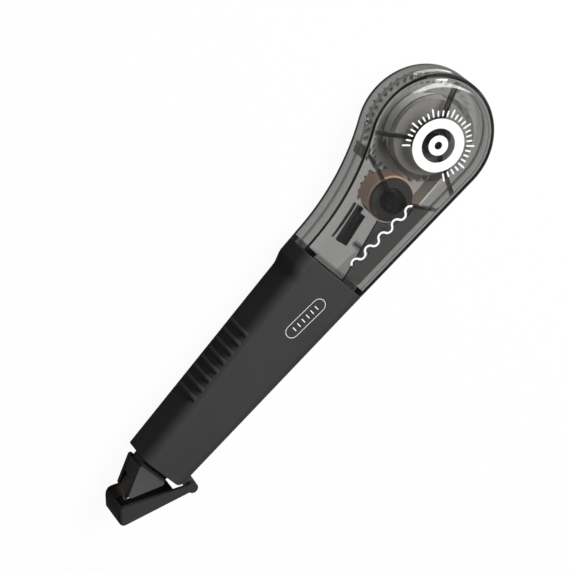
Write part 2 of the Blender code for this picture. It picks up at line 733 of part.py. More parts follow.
def blade_circles():
    """Lower shoulder, point and upper shoulder of the blade: centre and radius."""
    back = TIP_BASE_X - BLADE_SHOULDER_BACK
    point_x = TIP_BASE_X - TIP_LENGTH - BLADE_POINT_OUT + BLADE_POINT_RADIUS
    point = (point_x, TIP_POINT_Y - BLADE_POINT_DROP)
    return (((back, BLADE_SHOULDER_LOW), BLADE_SHOULDER_RADIUS), (point, BLADE_POINT_RADIUS),
            ((back, BLADE_SHOULDER_HIGH), BLADE_SHOULDER_RADIUS))


def tip_blade(frame):
    """Wedge that presses the tape, with a root held between the channel's walls."""
    (low, low_radius), (point, point_radius), (high, high_radius) = blade_circles()
    under = tangent(low, -low_radius, point, -point_radius)
    over = tangent(point, -point_radius, high, -high_radius)
    start = math.atan2(under[1][1] - point[1], under[1][0] - point[0])
    end = math.atan2(over[0][1] - point[1], over[0][0] - point[0])
    nose = arc(point, point_radius, start, start - (start - end) % (2 * math.pi), ROUND_STEPS * 2)
    root_x = TIP_BASE_X + BLADE_ROOT
    root_low = BLADE_SHOULDER_LOW - BLADE_SHOULDER_RADIUS + BLADE_ROOT_INSET
    root_high = BLADE_SHOULDER_HIGH + BLADE_SHOULDER_RADIUS - BLADE_ROOT_INSET
    outline = ([(root_x, root_low), (low[0] + low_radius, root_low), under[0]] + nose
               + [over[1], (high[0] + high_radius, root_high), (root_x, root_high)])
    half = CHEEK_INNER - GAP
    piece("tip_blade", prism(outline, TAPE_MID - half, TAPE_MID + half), frame, INNER_BLACK)


def cap_outline():
    """Side view of the cap, from its hinge to its rounded far end, in the cap's own plan."""
    return rounded([(0, -CAP_ARM_TOP, 0), (0, CAP_ARM_LOW, 0), (CAP_REACH, CAP_END_LOW, CAP_CORNER),
                    (CAP_TOP_REACH, -CAP_END_TOP, CAP_LIP_CORNER)])


def cap_end_cutter(side, radius):
    """Rounds the cap's far end into one of its sides, along the slant of the end."""
    low = Vector((CAP_REACH, CAP_END_LOW, 0))
    along = (Vector((CAP_TOP_REACH, -CAP_END_TOP, 0)) - low).normalized()
    across = Vector((0, 0, 1))
    outward = across.cross(along)
    inner = CAP_HALF - radius
    outer = CAP_HALF + radius
    curve = arc((-radius, inner), radius, 0, math.pi / 2, ROUND_STEPS)
    outline = curve + [(-radius, outer), (radius, outer), (radius, inner)]
    bm = prism([(x, side * y) for x, y in outline], -REACH, REACH)
    place = Matrix((outward, across, along)).transposed().to_4x4()
    place.translation = low
    bmesh.ops.transform(bm, matrix=place, verts=bm.verts)
    return bm


def tip_cap(frame):
    """Trough under the tip, on two arms that end in round knobs beside the lug."""
    axis = new_empty("cap_axis", (*pivot(), 0), frame, CAP_LEAN)
    cap = piece("tip_cap", prism(cap_outline(), -CAP_HALF, CAP_HALF), axis, BLACK)
    corners = (("cap_front_corner", 1, CAP_FRONT_ROUND), ("cap_rear_corner", -1, CAP_REAR_ROUND))
    for label, side, radius in corners:
        combine(cap, "DIFFERENCE", tool(label, cap_end_cutter(side, radius), axis))
    knob = rod((0, 0), CAP_KNOB_RADIUS, -CAP_HALF, CAP_HALF)
    combine(cap, "UNION", tool("cap_knob", knob, axis))
    slope = (CAP_END_LOW - CAP_ARM_LOW) / CAP_REACH
    floor_start = CAP_ARM_LOW + slope * CAP_FLOOR_START - CAP_WALL
    inside_end = CAP_TOP_REACH - CAP_WALL
    floor_end = CAP_ARM_LOW + slope * inside_end - CAP_WALL
    open_y = CAP_REACH
    trough = rounded([(-CAP_REACH, -open_y, 0), (inside_end, -open_y, 0),
                      (inside_end, floor_end, CAP_WALL / 2), (CAP_FLOOR_START, floor_start, 0),
                      (CAP_FLOOR_START, open_y, 0), (-CAP_REACH, open_y, 0)])
    combine(cap, "DIFFERENCE", tool("cap_trough", prism(trough, -CAP_INNER, CAP_INNER), axis))
    blind = CAP_INNER + CAP_WALL / 2
    bore = rod((0, 0), HINGE_PIN_RADIUS + RUN_GAP, -blind, blind)
    combine(cap, "DIFFERENCE", tool("cap_bore", bore, axis))
    pin = rod(pivot(), HINGE_PIN_RADIUS, -blind + GAP, blind - GAP)
    piece("cap_hinge_pin", pin, frame, STEEL)


# Reels

def supply_reel(frame):
    """Gear with hub, slip clutch, core, clear flange and the wound tape."""
    axis = new_empty("supply_axis", (*SUPPLY, 0), frame)
    hub = SUPPLY_POST_RADIUS + RUN_GAP + HUB_WALL
    teeth = prism(gear_outline(SUPPLY_TEETH, TAKE_UP_BEARING), GEAR_LOW, GEAR_HIGH)
    gear = piece("supply_gear", teeth, axis, GREY)
    combine(gear, "UNION", tool("supply_hub", rod((0, 0), hub, GEAR_LOW, HUB_TOP, TURN_STEPS), axis))
    bore = rod((0, 0), SUPPLY_POST_RADIUS + RUN_GAP, -REACH, REACH)
    combine(gear, "DIFFERENCE", tool("supply_bore", bore, axis))
    core_inner = CORE_RADIUS - CORE_WALL
    turned("supply_core", ring_profile(core_inner, CORE_RADIUS, GEAR_HIGH + GAP, TAPE_HIGH), axis, GREY)
    cord = (core_inner - hub) / 2 - GAP
    section = arc(((core_inner + hub) / 2, TAPE_MID), cord, math.pi / 2, -math.pi * 3 / 2, CORNER_STEPS * 2)
    turned("clutch_ring", section[:-1], axis, RUBBER)
    turned("tape_roll", ring_profile(CORE_RADIUS + GAP, ROLL_RADIUS, TAPE_LOW, TAPE_HIGH), axis, WHITE)
    flange = ring_profile(hub + GAP, FLANGE_RADIUS, FLANGE_LOW, FLANGE_LOW + FLANGE_THICK)
    turned("supply_flange", flange, axis, SMOKE)


def take_up_reel(frame):
    """Small gear with hub, drum and the wound film."""
    axis = new_empty("take_up_axis", (*TAKE_UP, 0), frame)
    hub = TAKE_UP_POST_RADIUS + RUN_GAP + HUB_WALL
    phase = TAKE_UP_BEARING + math.pi + math.pi / TAKE_UP_TEETH
    teeth = prism(gear_outline(TAKE_UP_TEETH, phase), GEAR_LOW, GEAR_HIGH)
    gear = piece("take_up_gear", teeth, axis, INNER_BLACK)
    combine(gear, "UNION", tool("take_up_hub", rod((0, 0), hub, GEAR_LOW, HUB_TOP, TURN_STEPS), axis))
    bore = rod((0, 0), TAKE_UP_POST_RADIUS + RUN_GAP, -REACH, REACH)
    combine(gear, "DIFFERENCE", tool("take_up_bore", bore, axis))
    rim_low = FLANGE_LOW
    drum = [(RIM_RADIUS, rim_low + RIM_THICK), (RIM_RADIUS, rim_low), (DRUM_RADIUS, rim_low),
            (DRUM_RADIUS, GEAR_HIGH + GAP), (hub + GAP, GEAR_HIGH + GAP), (hub + GAP, rim_low + RIM_THICK)]
    turned("take_up_core", drum, axis, INNER_BLACK)
    turned("used_film_roll", ring_profile(DRUM_RADIUS + GAP, FILM_RADIUS, TAPE_LOW, TAPE_HIGH), axis, FILM)


def pawl_tip():
    """End of the pawl's long finger, just clear of the take-up gear's teeth."""
    reach = TAKE_UP_PITCH + GEAR_TIP + GAP + PAWL_WIDTH / 2 * math.tan(PAWL_TILT) + BITE
    return (TAKE_UP[0] - reach, TAKE_UP[1] + PAWL_AIM)


def pawl_peg():
    """Peg that holds the pawl on the rear shell."""
    return polar(pawl_tip(), PAWL_PEG_FROM_END - PAWL_LENGTH, PAWL_TILT)


def reverse_stop_pawl(frame):
    """Forked finger that points at the take-up gear."""
    long_end = PAWL_WIDTH / 2
    slit = PAWL_SLIT / 2
    fork = [(-PAWL_LENGTH, -long_end), (-PAWL_STEP, -long_end), (-PAWL_STEP, -slit),
            (-PAWL_SLIT_LENGTH, -slit), (-PAWL_SLIT_LENGTH, slit), (0, slit), (0, long_end),
            (-PAWL_LENGTH, long_end)]
    mount = new_empty("pawl_frame", (*pawl_tip(), 0), frame, PAWL_TILT)
    pawl = piece("reverse_stop_pawl", prism(fork, GEAR_LOW, GEAR_HIGH - GAP), mount, INNER_BLACK)
    hole = rod((PAWL_PEG_FROM_END - PAWL_LENGTH, 0), PAWL_PEG_RADIUS + RUN_GAP, -REACH, REACH)
    combine(pawl, "DIFFERENCE", tool("pawl_hole", hole, mount))


# Tape path

def guide(label, centre, frame):
    """Roller on a pin that hangs from the carrier's web."""
    axis = new_empty(label + "_axis", (*centre, 0), frame)
    half = TAPE_WIDTH / 2 + ROLLER_EXTRA
    sleeve = ring_profile(GUIDE_PIN_RADIUS + RUN_GAP, ROLLER_RADIUS, TAPE_MID - half, TAPE_MID + half)
    turned(label + "_roller", sleeve, axis, CLEAR, SMALL_STEPS)
    pin = rod((0, 0), GUIDE_PIN_RADIUS, TAPE_MID - half, PLATE_HIGH)
    piece(label + "_pin", pin, axis, STEEL)


def tape_route():
    """Points along the tape from the supply reel to the blade's point, and on to the take-up reel."""
    stand = RUN_GAP + TAPE_THICK / 2
    low, point, high = blade_circles()
    stops = [(SUPPLY, -(ROLL_RADIUS + stand)), (LOWER_GUIDE, -(ROLLER_RADIUS + stand)),
             (low[0], -(low[1] + stand)), (point[0], -(point[1] + stand)), (high[0], -(high[1] + stand)),
             (UPPER_GUIDE, ROLLER_RADIUS + stand), (TAKE_UP, FILM_RADIUS + stand)]
    runs = [tangent(*first, *second) for first, second in zip(stops, stops[1:])]
    route = [[runs[0][0]]]
    for (centre, radius), before, after in zip(stops[1:-1], runs, runs[1:]):
        start = math.atan2(before[1][1] - centre[1], before[1][0] - centre[0])
        end = math.atan2(after[0][1] - centre[1], after[0][0] - centre[0])
        turn = math.remainder(end - start, 2 * math.pi)
        if centre == point[0]:
            turn = -((start - end) % (2 * math.pi))
            bend = arc(centre, abs(radius), start, start + turn, ROUND_STEPS * 2)
            route[-1].append(bend[0])
            route.append(bend[1:])
        else:
            route[-1] += arc(centre, abs(radius), start, start + turn, 2)
    route[-1].append(runs[-1][1])
    return route


def ribbon(points):
    """Outline of a thin strip along a line of points."""
    left = []
    right = []
    for index, (x, y) in enumerate(points):
        before = points[max(index - 1, 0)]
        after = points[min(index + 1, len(points) - 1)]
        along = Vector((after[0] - before[0], after[1] - before[1])).normalized() * (TAPE_THICK / 2)
        left.append((x - along.y, y + along.x))
        right.append((x + along.y, y - along.x))
    return left + right[::-1]


def tape_path(frame):
    """White tape out to the blade, bare film round it and back."""
    out, back = tape_route()
    piece("tape_run_out", prism(ribbon(out), TAPE_LOW, TAPE_HIGH), frame, WHITE)
    piece("film_run_back", prism(ribbon(back), TAPE_LOW, TAPE_HIGH), frame, FILM)


def pen_centre():
    """Middle of the pen's plan, between the cap's far end and the bulb."""
    outline = head_outline(0.0, 0.0)
    cap = [polar(pivot(), math.hypot(x, y), CAP_LEAN + math.atan2(y, x)) for x, y in cap_outline()]
    xs = [x for x, _ in outline + cap]
    ys = [y for _, y in outline]
    return ((min(xs) + max(xs)) / 2, (min(ys) + max(ys)) / 2)


def shade():
    """Smooth shading with sharp edges kept."""
    for obj in PARTS.objects:
        if obj.type == "MESH":
            obj.data.shade_smooth()
            obj.data.set_sharp_from_angle(angle=math.radians(35))


for old in list(bpy.data.objects):
    bpy.data.objects.remove(old, do_unlink=True)
PARTS = new_collection("correction_tape_pen")
TOOLS = new_collection("cutters")
middle_x, middle_y = pen_centre()
pen = new_empty("pen_frame", (-middle_x, -middle_y, HALF))
front_shell(pen)
rear_shell(pen)
grip_sleeve(pen)
tip_carrier(pen)
tip_blade(pen)
tip_cap(pen)
supply_reel(pen)
take_up_reel(pen)
reverse_stop_pawl(pen)
guide("lower_guide", LOWER_GUIDE, pen)
guide("upper_guide", UPPER_GUIDE, pen)
tape_path(pen)
shade()
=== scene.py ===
# %% [markdown]
# # A correction tape pen
# The pen has a smoke-clear head over two geared reels, a black grip with finger ribs and a small
# cap that swings on a hinge under the tip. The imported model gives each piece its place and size.
# This file models the fine shapes, gives every surface its finish and sets up the picture.

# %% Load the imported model
import json
import math

import bmesh
import bpy
from mathutils import Matrix, Vector


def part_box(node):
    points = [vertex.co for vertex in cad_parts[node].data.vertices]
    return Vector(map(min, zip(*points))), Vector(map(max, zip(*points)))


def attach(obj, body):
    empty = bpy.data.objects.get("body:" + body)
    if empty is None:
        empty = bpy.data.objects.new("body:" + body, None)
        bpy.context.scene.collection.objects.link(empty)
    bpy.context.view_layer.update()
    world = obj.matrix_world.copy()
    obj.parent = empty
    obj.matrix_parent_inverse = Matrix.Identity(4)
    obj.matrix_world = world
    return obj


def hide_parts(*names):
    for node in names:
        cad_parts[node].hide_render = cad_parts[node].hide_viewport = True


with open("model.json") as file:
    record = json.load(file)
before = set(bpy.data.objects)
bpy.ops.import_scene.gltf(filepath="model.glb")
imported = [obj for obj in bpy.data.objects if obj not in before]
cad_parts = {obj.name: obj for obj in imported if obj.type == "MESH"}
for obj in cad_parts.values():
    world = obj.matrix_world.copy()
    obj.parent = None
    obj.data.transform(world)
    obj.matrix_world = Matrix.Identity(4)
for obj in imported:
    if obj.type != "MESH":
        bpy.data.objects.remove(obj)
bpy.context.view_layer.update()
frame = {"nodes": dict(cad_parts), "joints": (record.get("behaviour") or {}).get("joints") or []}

print("nodes in the packed model:", len(frame["nodes"]))

# %% [markdown]
# ## Places and driving sizes
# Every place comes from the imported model: the joints give the reel and hinge axes, and the boxes
# of the nodes give faces and ends. The few sizes that a box can't tell, such as walls and
# roundings, are written once, in millimetres times MM, where they are first needed.

# %% Places and driving sizes
MM = 0.001
FIT = 0.3 * MM                  # gap between pieces that are fitted together
WALL = 1.4 * MM                 # head shells
EDGE_ROUND = 3.0 * MM           # long outer edges of head and grip
NECK_CURVE = 62 * MM            # hollow curve between neck and bulb

axes = {joint["name"]: Vector(joint["pos_m"]) for joint in frame["joints"]}
SUPPLY = axes["supply_spin"]
TAKE_UP = axes["take_up_spin"]
HINGE = axes["cap_hinge"]
shell_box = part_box("front_shell")
grip_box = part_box("grip_sleeve")
JOINT_X = grip_box[1].x + FIT   # where the head meets the grip
END_X = grip_box[0].x           # lower end of the grip
NECK_HIGH = grip_box[1].y       # ribbed side at the joint
NECK_LOW = grip_box[0].y        # plain side at the joint
FRONT = shell_box[1].z
MIDDLE = FRONT / 2
BULB_RADIUS = shell_box[1].x - SUPPLY.x
print("bulb radius in mm:", round(BULB_RADIUS / MM, 2), "depth in mm:", round(FRONT / MM, 2))

# %% [markdown]
# ## Working in edit mode from code
# Modelling by hand means selecting something and then using a tool on it. These helpers do the
# same: `begin` starts a mesh as a single point, `line_by` and `arc_round` draw an outline with
# Extrude and Spin, and `fill` and `raise_by` turn an outline into a slab.

# %% Drawing helpers
MERGE = 0.001 * MM              # points closer than this become one


def take(name):
    """Name the primitive that was just added and move its place into its mesh."""
    obj = bpy.context.object
    obj.name = name
    bpy.ops.object.transform_apply(location=True, rotation=False, scale=True)
    return obj


def begin(name, place):
    """New mesh in edit mode that is one selected point: a plane merged at its centre."""
    bpy.ops.object.select_all(action="DESELECT")
    bpy.ops.mesh.primitive_plane_add(size=MM, location=place)
    obj = take(name)
    bpy.ops.object.mode_set(mode="EDIT")
    bpy.ops.mesh.select_mode(type="VERT")
    bpy.ops.mesh.select_all(action="SELECT")
    bpy.ops.mesh.merge(type="CENTER")
    return obj


def line_by(move):
    """Extrude what is selected along a straight move."""
    bpy.ops.mesh.extrude_region_move(TRANSFORM_OT_translate={"value": tuple(move)})


def arc_round(centre, angle, steps, axis=(0, 0, 1)):
    """Spin what is selected about a centre; the tool itself counts clockwise."""
    bpy.ops.mesh.spin(steps=steps, angle=-angle, center=tuple(centre), axis=axis)


def merge_points():
    """Make points in the same place one."""
    bpy.ops.mesh.select_all(action="SELECT")
    bpy.ops.mesh.remove_doubles(threshold=MERGE)


def face_outwards():
    """Turn every face of a closed mesh outwards."""
    bpy.ops.mesh.select_all(action="SELECT")
    bpy.ops.mesh.normals_make_consistent(inside=False)


def fill():
    """One face inside the outline that was drawn."""
    merge_points()
    bpy.ops.mesh.edge_face_add()


def raise_by(move):
    """Give the outline its thickness."""
    bpy.ops.mesh.select_all(action="SELECT")
    line_by(move)
    face_outwards()


print("drawing helpers ready")

# %% [markdown]
# `pick` selects by place, as a box selection does by hand. `done` leaves edit mode and smooths
# the round stretches. A modifier is added and applied in one go by `apply`. Joining, cutting and
# keeping are all the Boolean modifier, so `combine` takes the name of the operation.

# %% Selecting, finishing and combining
SLACK = 0.005 * MM              # for tests of place
SMOOTH_BELOW = math.radians(35)


def pick(obj, kind, test):
    """Select only the verts, edges or faces that pass a test."""
    modes = {"verts": "VERT", "edges": "EDGE", "faces": "FACE"}
    bpy.ops.mesh.select_mode(type=modes[kind])
    bpy.ops.mesh.select_all(action="DESELECT")
    bm = bmesh.from_edit_mesh(obj.data)
    for item in [item for item in getattr(bm, kind) if test(item)]:
        item.select_set(True)
    bm.select_flush_mode()
    bmesh.update_edit_mesh(obj.data)


def all_at(axis, value):
    """Test: every corner of an edge or face lies at this value of x, y or z."""
    return lambda item: all(abs(vert.co[axis] - value) < SLACK for vert in item.verts)


def done(obj):
    """Leave edit mode and smooth the round stretches."""
    if bpy.context.mode != "OBJECT":
        bpy.ops.object.mode_set(mode="OBJECT")
    bpy.ops.object.select_all(action="DESELECT")
    obj.select_set(True)
    bpy.context.view_layer.objects.active = obj
    bpy.ops.object.shade_smooth_by_angle(angle=SMOOTH_BELOW)
    return obj


def apply(obj, kind, **values):
    """Add a modifier with its values and apply it."""
    done(obj)
    step = obj.modifiers.new(kind.lower(), kind)
    for key, value in values.items():
        setattr(step, key, value)
    bpy.ops.object.modifier_apply(modifier=step.name)
    return obj


def combine(obj, other, operation):
    """Join, cut or keep with another mesh, which is used up."""
    done(other)
    apply(obj, "BOOLEAN", operation=operation, solver="EXACT", object=other)
    bpy.data.objects.remove(other, do_unlink=True)
    return done(obj)


print("selecting and combining ready")

# %% [markdown]
# ## Shared surface effects
# Moulded plastic is never one flat value. A fine grain breaks up its highlights, and slow patches
# change how rough and how dark it is. Nearly every finish needs this, so it is a node group that
# is built once and placed in each material with its own values. An input of a node takes a plain
# value or a link: `feed` does either, and `add_node` makes a node and feeds it.

# %% Nodes from code
def feed(tree, node, inputs):
    """Give each input its plain value, or a link where another node's output is given."""
    for label, value in inputs.items():
        if isinstance(value, bpy.types.NodeSocket):
            tree.links.new(value, node.inputs[label])
        else:
            node.inputs[label].default_value = value


def add_node(tree, kind, inputs, **settings):
    """New shader node with its settings, and its inputs fed."""
    node = tree.nodes.new("ShaderNode" + kind)
    for key, value in settings.items():
        setattr(node, key, value)
    feed(tree, node, inputs)
    return node


def new_material(name):
    """Material and its node tree."""
    material = bpy.data.materials.new(name)
    material.use_nodes = True
    return material, material.node_tree


print("node helpers ready")

# %% Node group for moulded grain
FLOAT = "NodeSocketFloat"
COLOUR = "NodeSocketColor"
FINE_SHARE = 0.6                # of the fine grain in the colour; slow patches give the rest
PATCH_SCALE = 90
grain = bpy.data.node_groups.new("moulded_grain", "ShaderNodeTree")
for label, kind in (("Dark", COLOUR), ("Light", COLOUR), ("Smoothest", FLOAT), ("Roughest", FLOAT),
                    ("Grain Scale", FLOAT)):
    grain.interface.new_socket(label, in_out="INPUT", socket_type=kind)
for label, kind in (("Color", COLOUR), ("Roughness", FLOAT), ("Height", FLOAT)):
    grain.interface.new_socket(label, in_out="OUTPUT", socket_type=kind)
given = grain.nodes.new("NodeGroupInput").outputs
spot = add_node(grain, "TexCoord", {}).outputs["Object"]
fine = add_node(grain, "TexNoise", {"Vector": spot, "Scale": given["Grain Scale"], "Detail": 3})
patches = add_node(grain, "TexNoise", {"Vector": spot, "Scale": PATCH_SCALE, "Detail": 4})
part = add_node(grain, "Math", {0: patches.outputs["Fac"], 1: 1 - FINE_SHARE}, operation="MULTIPLY")
blend = add_node(grain, "Math", {0: fine.outputs["Fac"], 1: FINE_SHARE, 2: part.outputs[0]},
                 operation="MULTIPLY_ADD")
tone = add_node(grain, "Mix", {"Factor": blend.outputs[0], "A": given["Dark"], "B": given["Light"]},
                data_type="RGBA")
gloss = add_node(grain, "MapRange", {"Value": patches.outputs["Fac"], "From Min": 0.3, "From Max": 0.7,
                                     "To Min": given["Smoothest"], "To Max": given["Roughest"]})
feed(grain, grain.nodes.new("NodeGroupOutput"),
     {"Color": tone.outputs["Result"], "Roughness": gloss.outputs["Result"], "Height": fine.outputs["Fac"]})
print("node group", grain.name, "with", len(grain.nodes), "nodes")

# %% [markdown]
# ## Moulded finishes
# The grip is matt black with a fine spark-eroded texture, the inner pieces are plainer black or
# grey mouldings, and the white ink is chalky. They differ only in colours, roughness and grain, so
# one function makes them all from the grain group instead of a tree drawn for each.

# %% Moulded finishes
def grey(value):
    """Neutral colour."""
    return (value, value, value)


def moulded(name, dark, light, smoothest, roughest, grain_scale, relief, specular=0.5):
    """Opaque plastic with grain in its colour, roughness and surface."""
    material, tree = new_material(name)
    surface = add_node(tree, "Group", {
        "Dark": (*dark, 1), "Light": (*light, 1), "Smoothest": smoothest, "Roughest": roughest,
        "Grain Scale": grain_scale}, node_tree=grain)
    bump = add_node(tree, "Bump", {"Strength": 1.0, "Distance": relief, "Height": surface.outputs["Height"]})
    feed(tree, tree.nodes["Principled BSDF"], {
        "Base Color": surface.outputs["Color"], "Roughness": surface.outputs["Roughness"],
        "Normal": bump.outputs["Normal"], "Specular IOR Level": specular})
    return material


grip_black = moulded("grip_black", grey(0.030), grey(0.046), 0.46, 0.58, 6000, 0.012 * MM, specular=0.2)
cap_black = moulded("cap_black", grey(0.024), grey(0.036), 0.42, 0.55, 5000, 0.008 * MM, specular=0.2)
inner_black = moulded("inner_black", grey(0.019), grey(0.035), 0.34, 0.46, 2500, 0.004 * MM)
# The carrier is the same black moulding as the inner pieces, written lighter: painted light for the light
# that reaches its plate through the shell.
plate_black = moulded("plate_black", grey(0.066), grey(0.088), 0.34, 0.46, 2500, 0.004 * MM, specular=0.2)
grey_plastic = moulded("grey_plastic", (0.29, 0.29, 0.285), (0.40, 0.40, 0.39), 0.30, 0.42, 2500, 0.004 * MM)
rubber = moulded("clutch_rubber", grey(0.04), grey(0.07), 0.7, 0.85, 3000, 0.006 * MM)
white_ink = moulded("white_ink", grey(0.86), grey(0.95), 0.45, 0.60, 5000, 0.003 * MM)
print("moulded finishes:", grip_black.name, cap_black.name, inner_black.name, plate_black.name,
      grey_plastic.name, rubber.name, white_ink.name)

# %% [markdown]
# ## Smoke-clear plastic
# The shells are polished polystyrene that is tinted all through. A tint on the surface would make
# every wall equally dark, but in the real moulding light is lost along its way: a thin wall looks
# grey, while a post, a rib or an edge that is seen along its length looks nearly black. So the
# surface stays clear and a Volume Absorption node takes the light away inside. Only where the
# surface is seen at a slant does a Layer Weight node darken its colour: that is painted shade,
# which draws the thin dark outlines. Lamps reach the reels through the shells, so for shadow rays
# the surface is transparent and only the depth counts.

# %% Clear plastics
REFRACTION = 1.49
MARK_SCALE = 700                # handling marks
MARK_DEPTH = 0.004 * MM
SLANT_FROM = 0.4                # where the painted shade of the edges starts
SLANT_TO = 0.85


def clear(name, tint, density, painted_slant_shade, smoothest, roughest):
    """See-through plastic with faint handling marks in its gloss, a tint in its depth and painted shade where
    it is seen at a slant.
    """
    material, tree = new_material(name)
    marks = add_node(tree, "Group", {"Smoothest": smoothest, "Roughest": roughest, "Grain Scale": MARK_SCALE},
                     node_tree=grain)
    bump = add_node(tree, "Bump", {"Strength": 0.25, "Distance": MARK_DEPTH,
                                   "Height": marks.outputs["Height"]})
    # Painted shade: the colour turns dark where the surface is seen at a slant, to draw the outlines.
    slant = add_node(tree, "LayerWeight", {"Blend": 0.5})
    edge = add_node(tree, "MapRange", {"Value": slant.outputs["Facing"], "From Min": SLANT_FROM,
                                       "From Max": SLANT_TO})
    shade = add_node(tree, "Mix", {"Factor": edge.outputs["Result"], "A": (*grey(0.98), 1),
                                   "B": (*painted_slant_shade, 1)}, data_type="RGBA")
    shader = tree.nodes["Principled BSDF"]
    feed(tree, shader, {
        "IOR": REFRACTION, "Transmission Weight": 1.0, "Base Color": shade.outputs["Result"],
        "Roughness": marks.outputs["Roughness"], "Normal": bump.outputs["Normal"]})
    shadow = add_node(tree, "LightPath", {}).outputs["Is Shadow Ray"]
    through = add_node(tree, "BsdfTransparent", {})
    either = add_node(tree, "MixShader", {"Fac": shadow, 1: shader.outputs["BSDF"],
                                          2: through.outputs["BSDF"]})
    depth = add_node(tree, "VolumeAbsorption", {"Color": (*tint, 1), "Density": density})
    feed(tree, tree.nodes["Material Output"],
         {"Surface": either.outputs["Shader"], "Volume": depth.outputs["Volume"]})
    return material


SMOKE_TINT = (0.30, 0.292, 0.275)
# The last colour of each is the painted shade of its outlines.
smoke = clear("smoke_plastic", SMOKE_TINT, 520, (0.45, 0.442, 0.43), 0.01, 0.05)
# Darker copy of the same smoke plastic for bosses, ribs and tab: its tint and absorption hold painted shade.
smoke_painted_shade = clear("smoke_ribs", (0.20, 0.195, 0.185), 1500, (0.10, 0.098, 0.094), 0.02, 0.06)
smoke_disc = clear("smoke_disc", SMOKE_TINT, 1050, (0.30, 0.295, 0.285), 0.02, 0.07)
clear_roller = clear("clear_roller", (0.60, 0.60, 0.58), 120, (0.80, 0.80, 0.78), 0.02, 0.07)
print("clear plastics:", smoke.name, smoke_painted_shade.name, smoke_disc.name, clear_roller.name)

# %% [markdown]
# ## Wound tape and steel
# A wound roll shows its turns as fine rings on its end face. They could be hundreds of real rings,
# but a pattern costs nothing: the distance from the reel's axis gives the ring, so a Mapping node
# moves the pattern's middle onto the axis first. The empty film lets some light through and looks
# tan, and the pins are drawn steel.

# %% Wound rolls and pins
TURN_RELIEF = 0.02 * MM


def wound(name, axis, dark, light, turn_width, roughness):
    """Roll whose end faces show its turns."""
    material, tree = new_material(name)
    spot = add_node(tree, "TexCoord", {})
    centred = add_node(tree, "Mapping", {"Vector": spot.outputs["Object"], "Location": (-axis.x, -axis.y, 0)})
    flat = add_node(tree, "VectorMath", {0: centred.outputs["Vector"], 1: (1, 1, 0)}, operation="MULTIPLY")
    radius = add_node(tree, "VectorMath", {0: flat.outputs["Vector"]}, operation="LENGTH")
    turns = add_node(tree, "TexNoise", {"W": radius.outputs["Value"], "Scale": 1 / turn_width, "Detail": 2},
                     noise_dimensions="1D")
    tone = add_node(tree, "Mix", {"Factor": turns.outputs["Fac"], "A": (*dark, 1), "B": (*light, 1)},
                    data_type="RGBA")
    bump = add_node(tree, "Bump", {"Strength": 0.6, "Distance": TURN_RELIEF, "Height": turns.outputs["Fac"]})
    feed(tree, tree.nodes["Principled BSDF"], {
        "Base Color": tone.outputs["Result"], "Roughness": roughness, "Normal": bump.outputs["Normal"]})
    return material


white_roll = wound("white_tape_roll", SUPPLY, (0.70, 0.70, 0.68), (0.92, 0.92, 0.90), 0.12 * MM, 0.55)
white_tape = moulded("white_tape", (0.80, 0.80, 0.78), (0.90, 0.90, 0.88), 0.5, 0.65, 3000, 0.004 * MM)
film_roll = wound("bare_film_roll", TAKE_UP, (0.62, 0.40, 0.29), (0.82, 0.58, 0.45), 0.10 * MM, 0.25)
film = moulded("bare_film", (0.56, 0.44, 0.38), (0.68, 0.56, 0.49), 0.2, 0.3, 1500, 0.001 * MM, specular=0.3)
film.node_tree.nodes["Principled BSDF"].inputs["Alpha"].default_value = 0.18
steel = moulded("drawn_steel", (0.50, 0.50, 0.51), (0.62, 0.62, 0.63), 0.22, 0.36, 4000, 0.002 * MM)
steel.node_tree.nodes["Principled BSDF"].inputs["Metallic"].default_value = 1.0
print("wound rolls:", white_roll.name, film_roll.name)

# %% [markdown]
# ## Outline of the head
# Seen from the front, the head is a round bulb that runs into a slanted neck. Its plain side is a
# straight line that touches the bulb, and its ribbed side is a hollow curve that touches the bulb
# and ends square at the joint. It could be traced point by point, but one straight extrusion and
# two spins draw it with real arcs, which stay smooth in the clear rim.

# %% Head outline
HOLLOW_Y = NECK_HIGH + NECK_CURVE
HOLLOW_X = SUPPLY.x - math.sqrt((BULB_RADIUS + NECK_CURVE) ** 2 - (HOLLOW_Y - SUPPLY.y) ** 2)
BULB_STEPS = 96
HOLLOW_STEPS = 24


def polar(centre, radius, angle, z):
    """Point on a circle round an upright axis; angle in degrees."""
    turn = math.radians(angle)
    return Vector((centre[0] + radius * math.cos(turn), centre[1] + radius * math.sin(turn), z))


def head_outline(name, z, inset):
    """Outline of the head at a height, drawn in by an inset and filled."""
    reach = SUPPLY.x - JOINT_X
    drop = SUPPLY.y - NECK_LOW
    slant = math.atan2(drop, reach) - math.asin(BULB_RADIUS / math.hypot(reach, drop))
    meeting = math.atan2(HOLLOW_Y - SUPPLY.y, HOLLOW_X - SUPPLY.x)
    touch = polar(SUPPLY, BULB_RADIUS - inset, math.degrees(slant) - 90, z)
    start_x = JOINT_X + inset
    corner = touch - Vector((1, math.tan(slant), 0)) * (touch.x - start_x)
    obj = begin(name, corner)
    line_by(touch - corner)
    arc_round((SUPPLY.x, SUPPLY.y, z), meeting - slant + math.pi / 2, BULB_STEPS)
    arc_round((HOLLOW_X, HOLLOW_Y, z), math.pi / 2 - meeting, HOLLOW_STEPS)
    line_by((start_x - HOLLOW_X, 0, 0))
    fill()
    return obj


print("middle of the neck's curve in mm:", round(HOLLOW_X / MM, 2), round(HOLLOW_Y / MM, 2))

# %% [markdown]
# Each shell is the outer form with a smaller form of the same kind taken out, so its wall is even
# in the rounded rim as well. A Solidify modifier could give the wall too, but it follows the
# normals at the seam and at the joint, and two solids keep those edges square. The shells leave a
# fine gap at the seam, which shows as the parting line round the head.

# %% Head shells
RIM_STEPS = 12


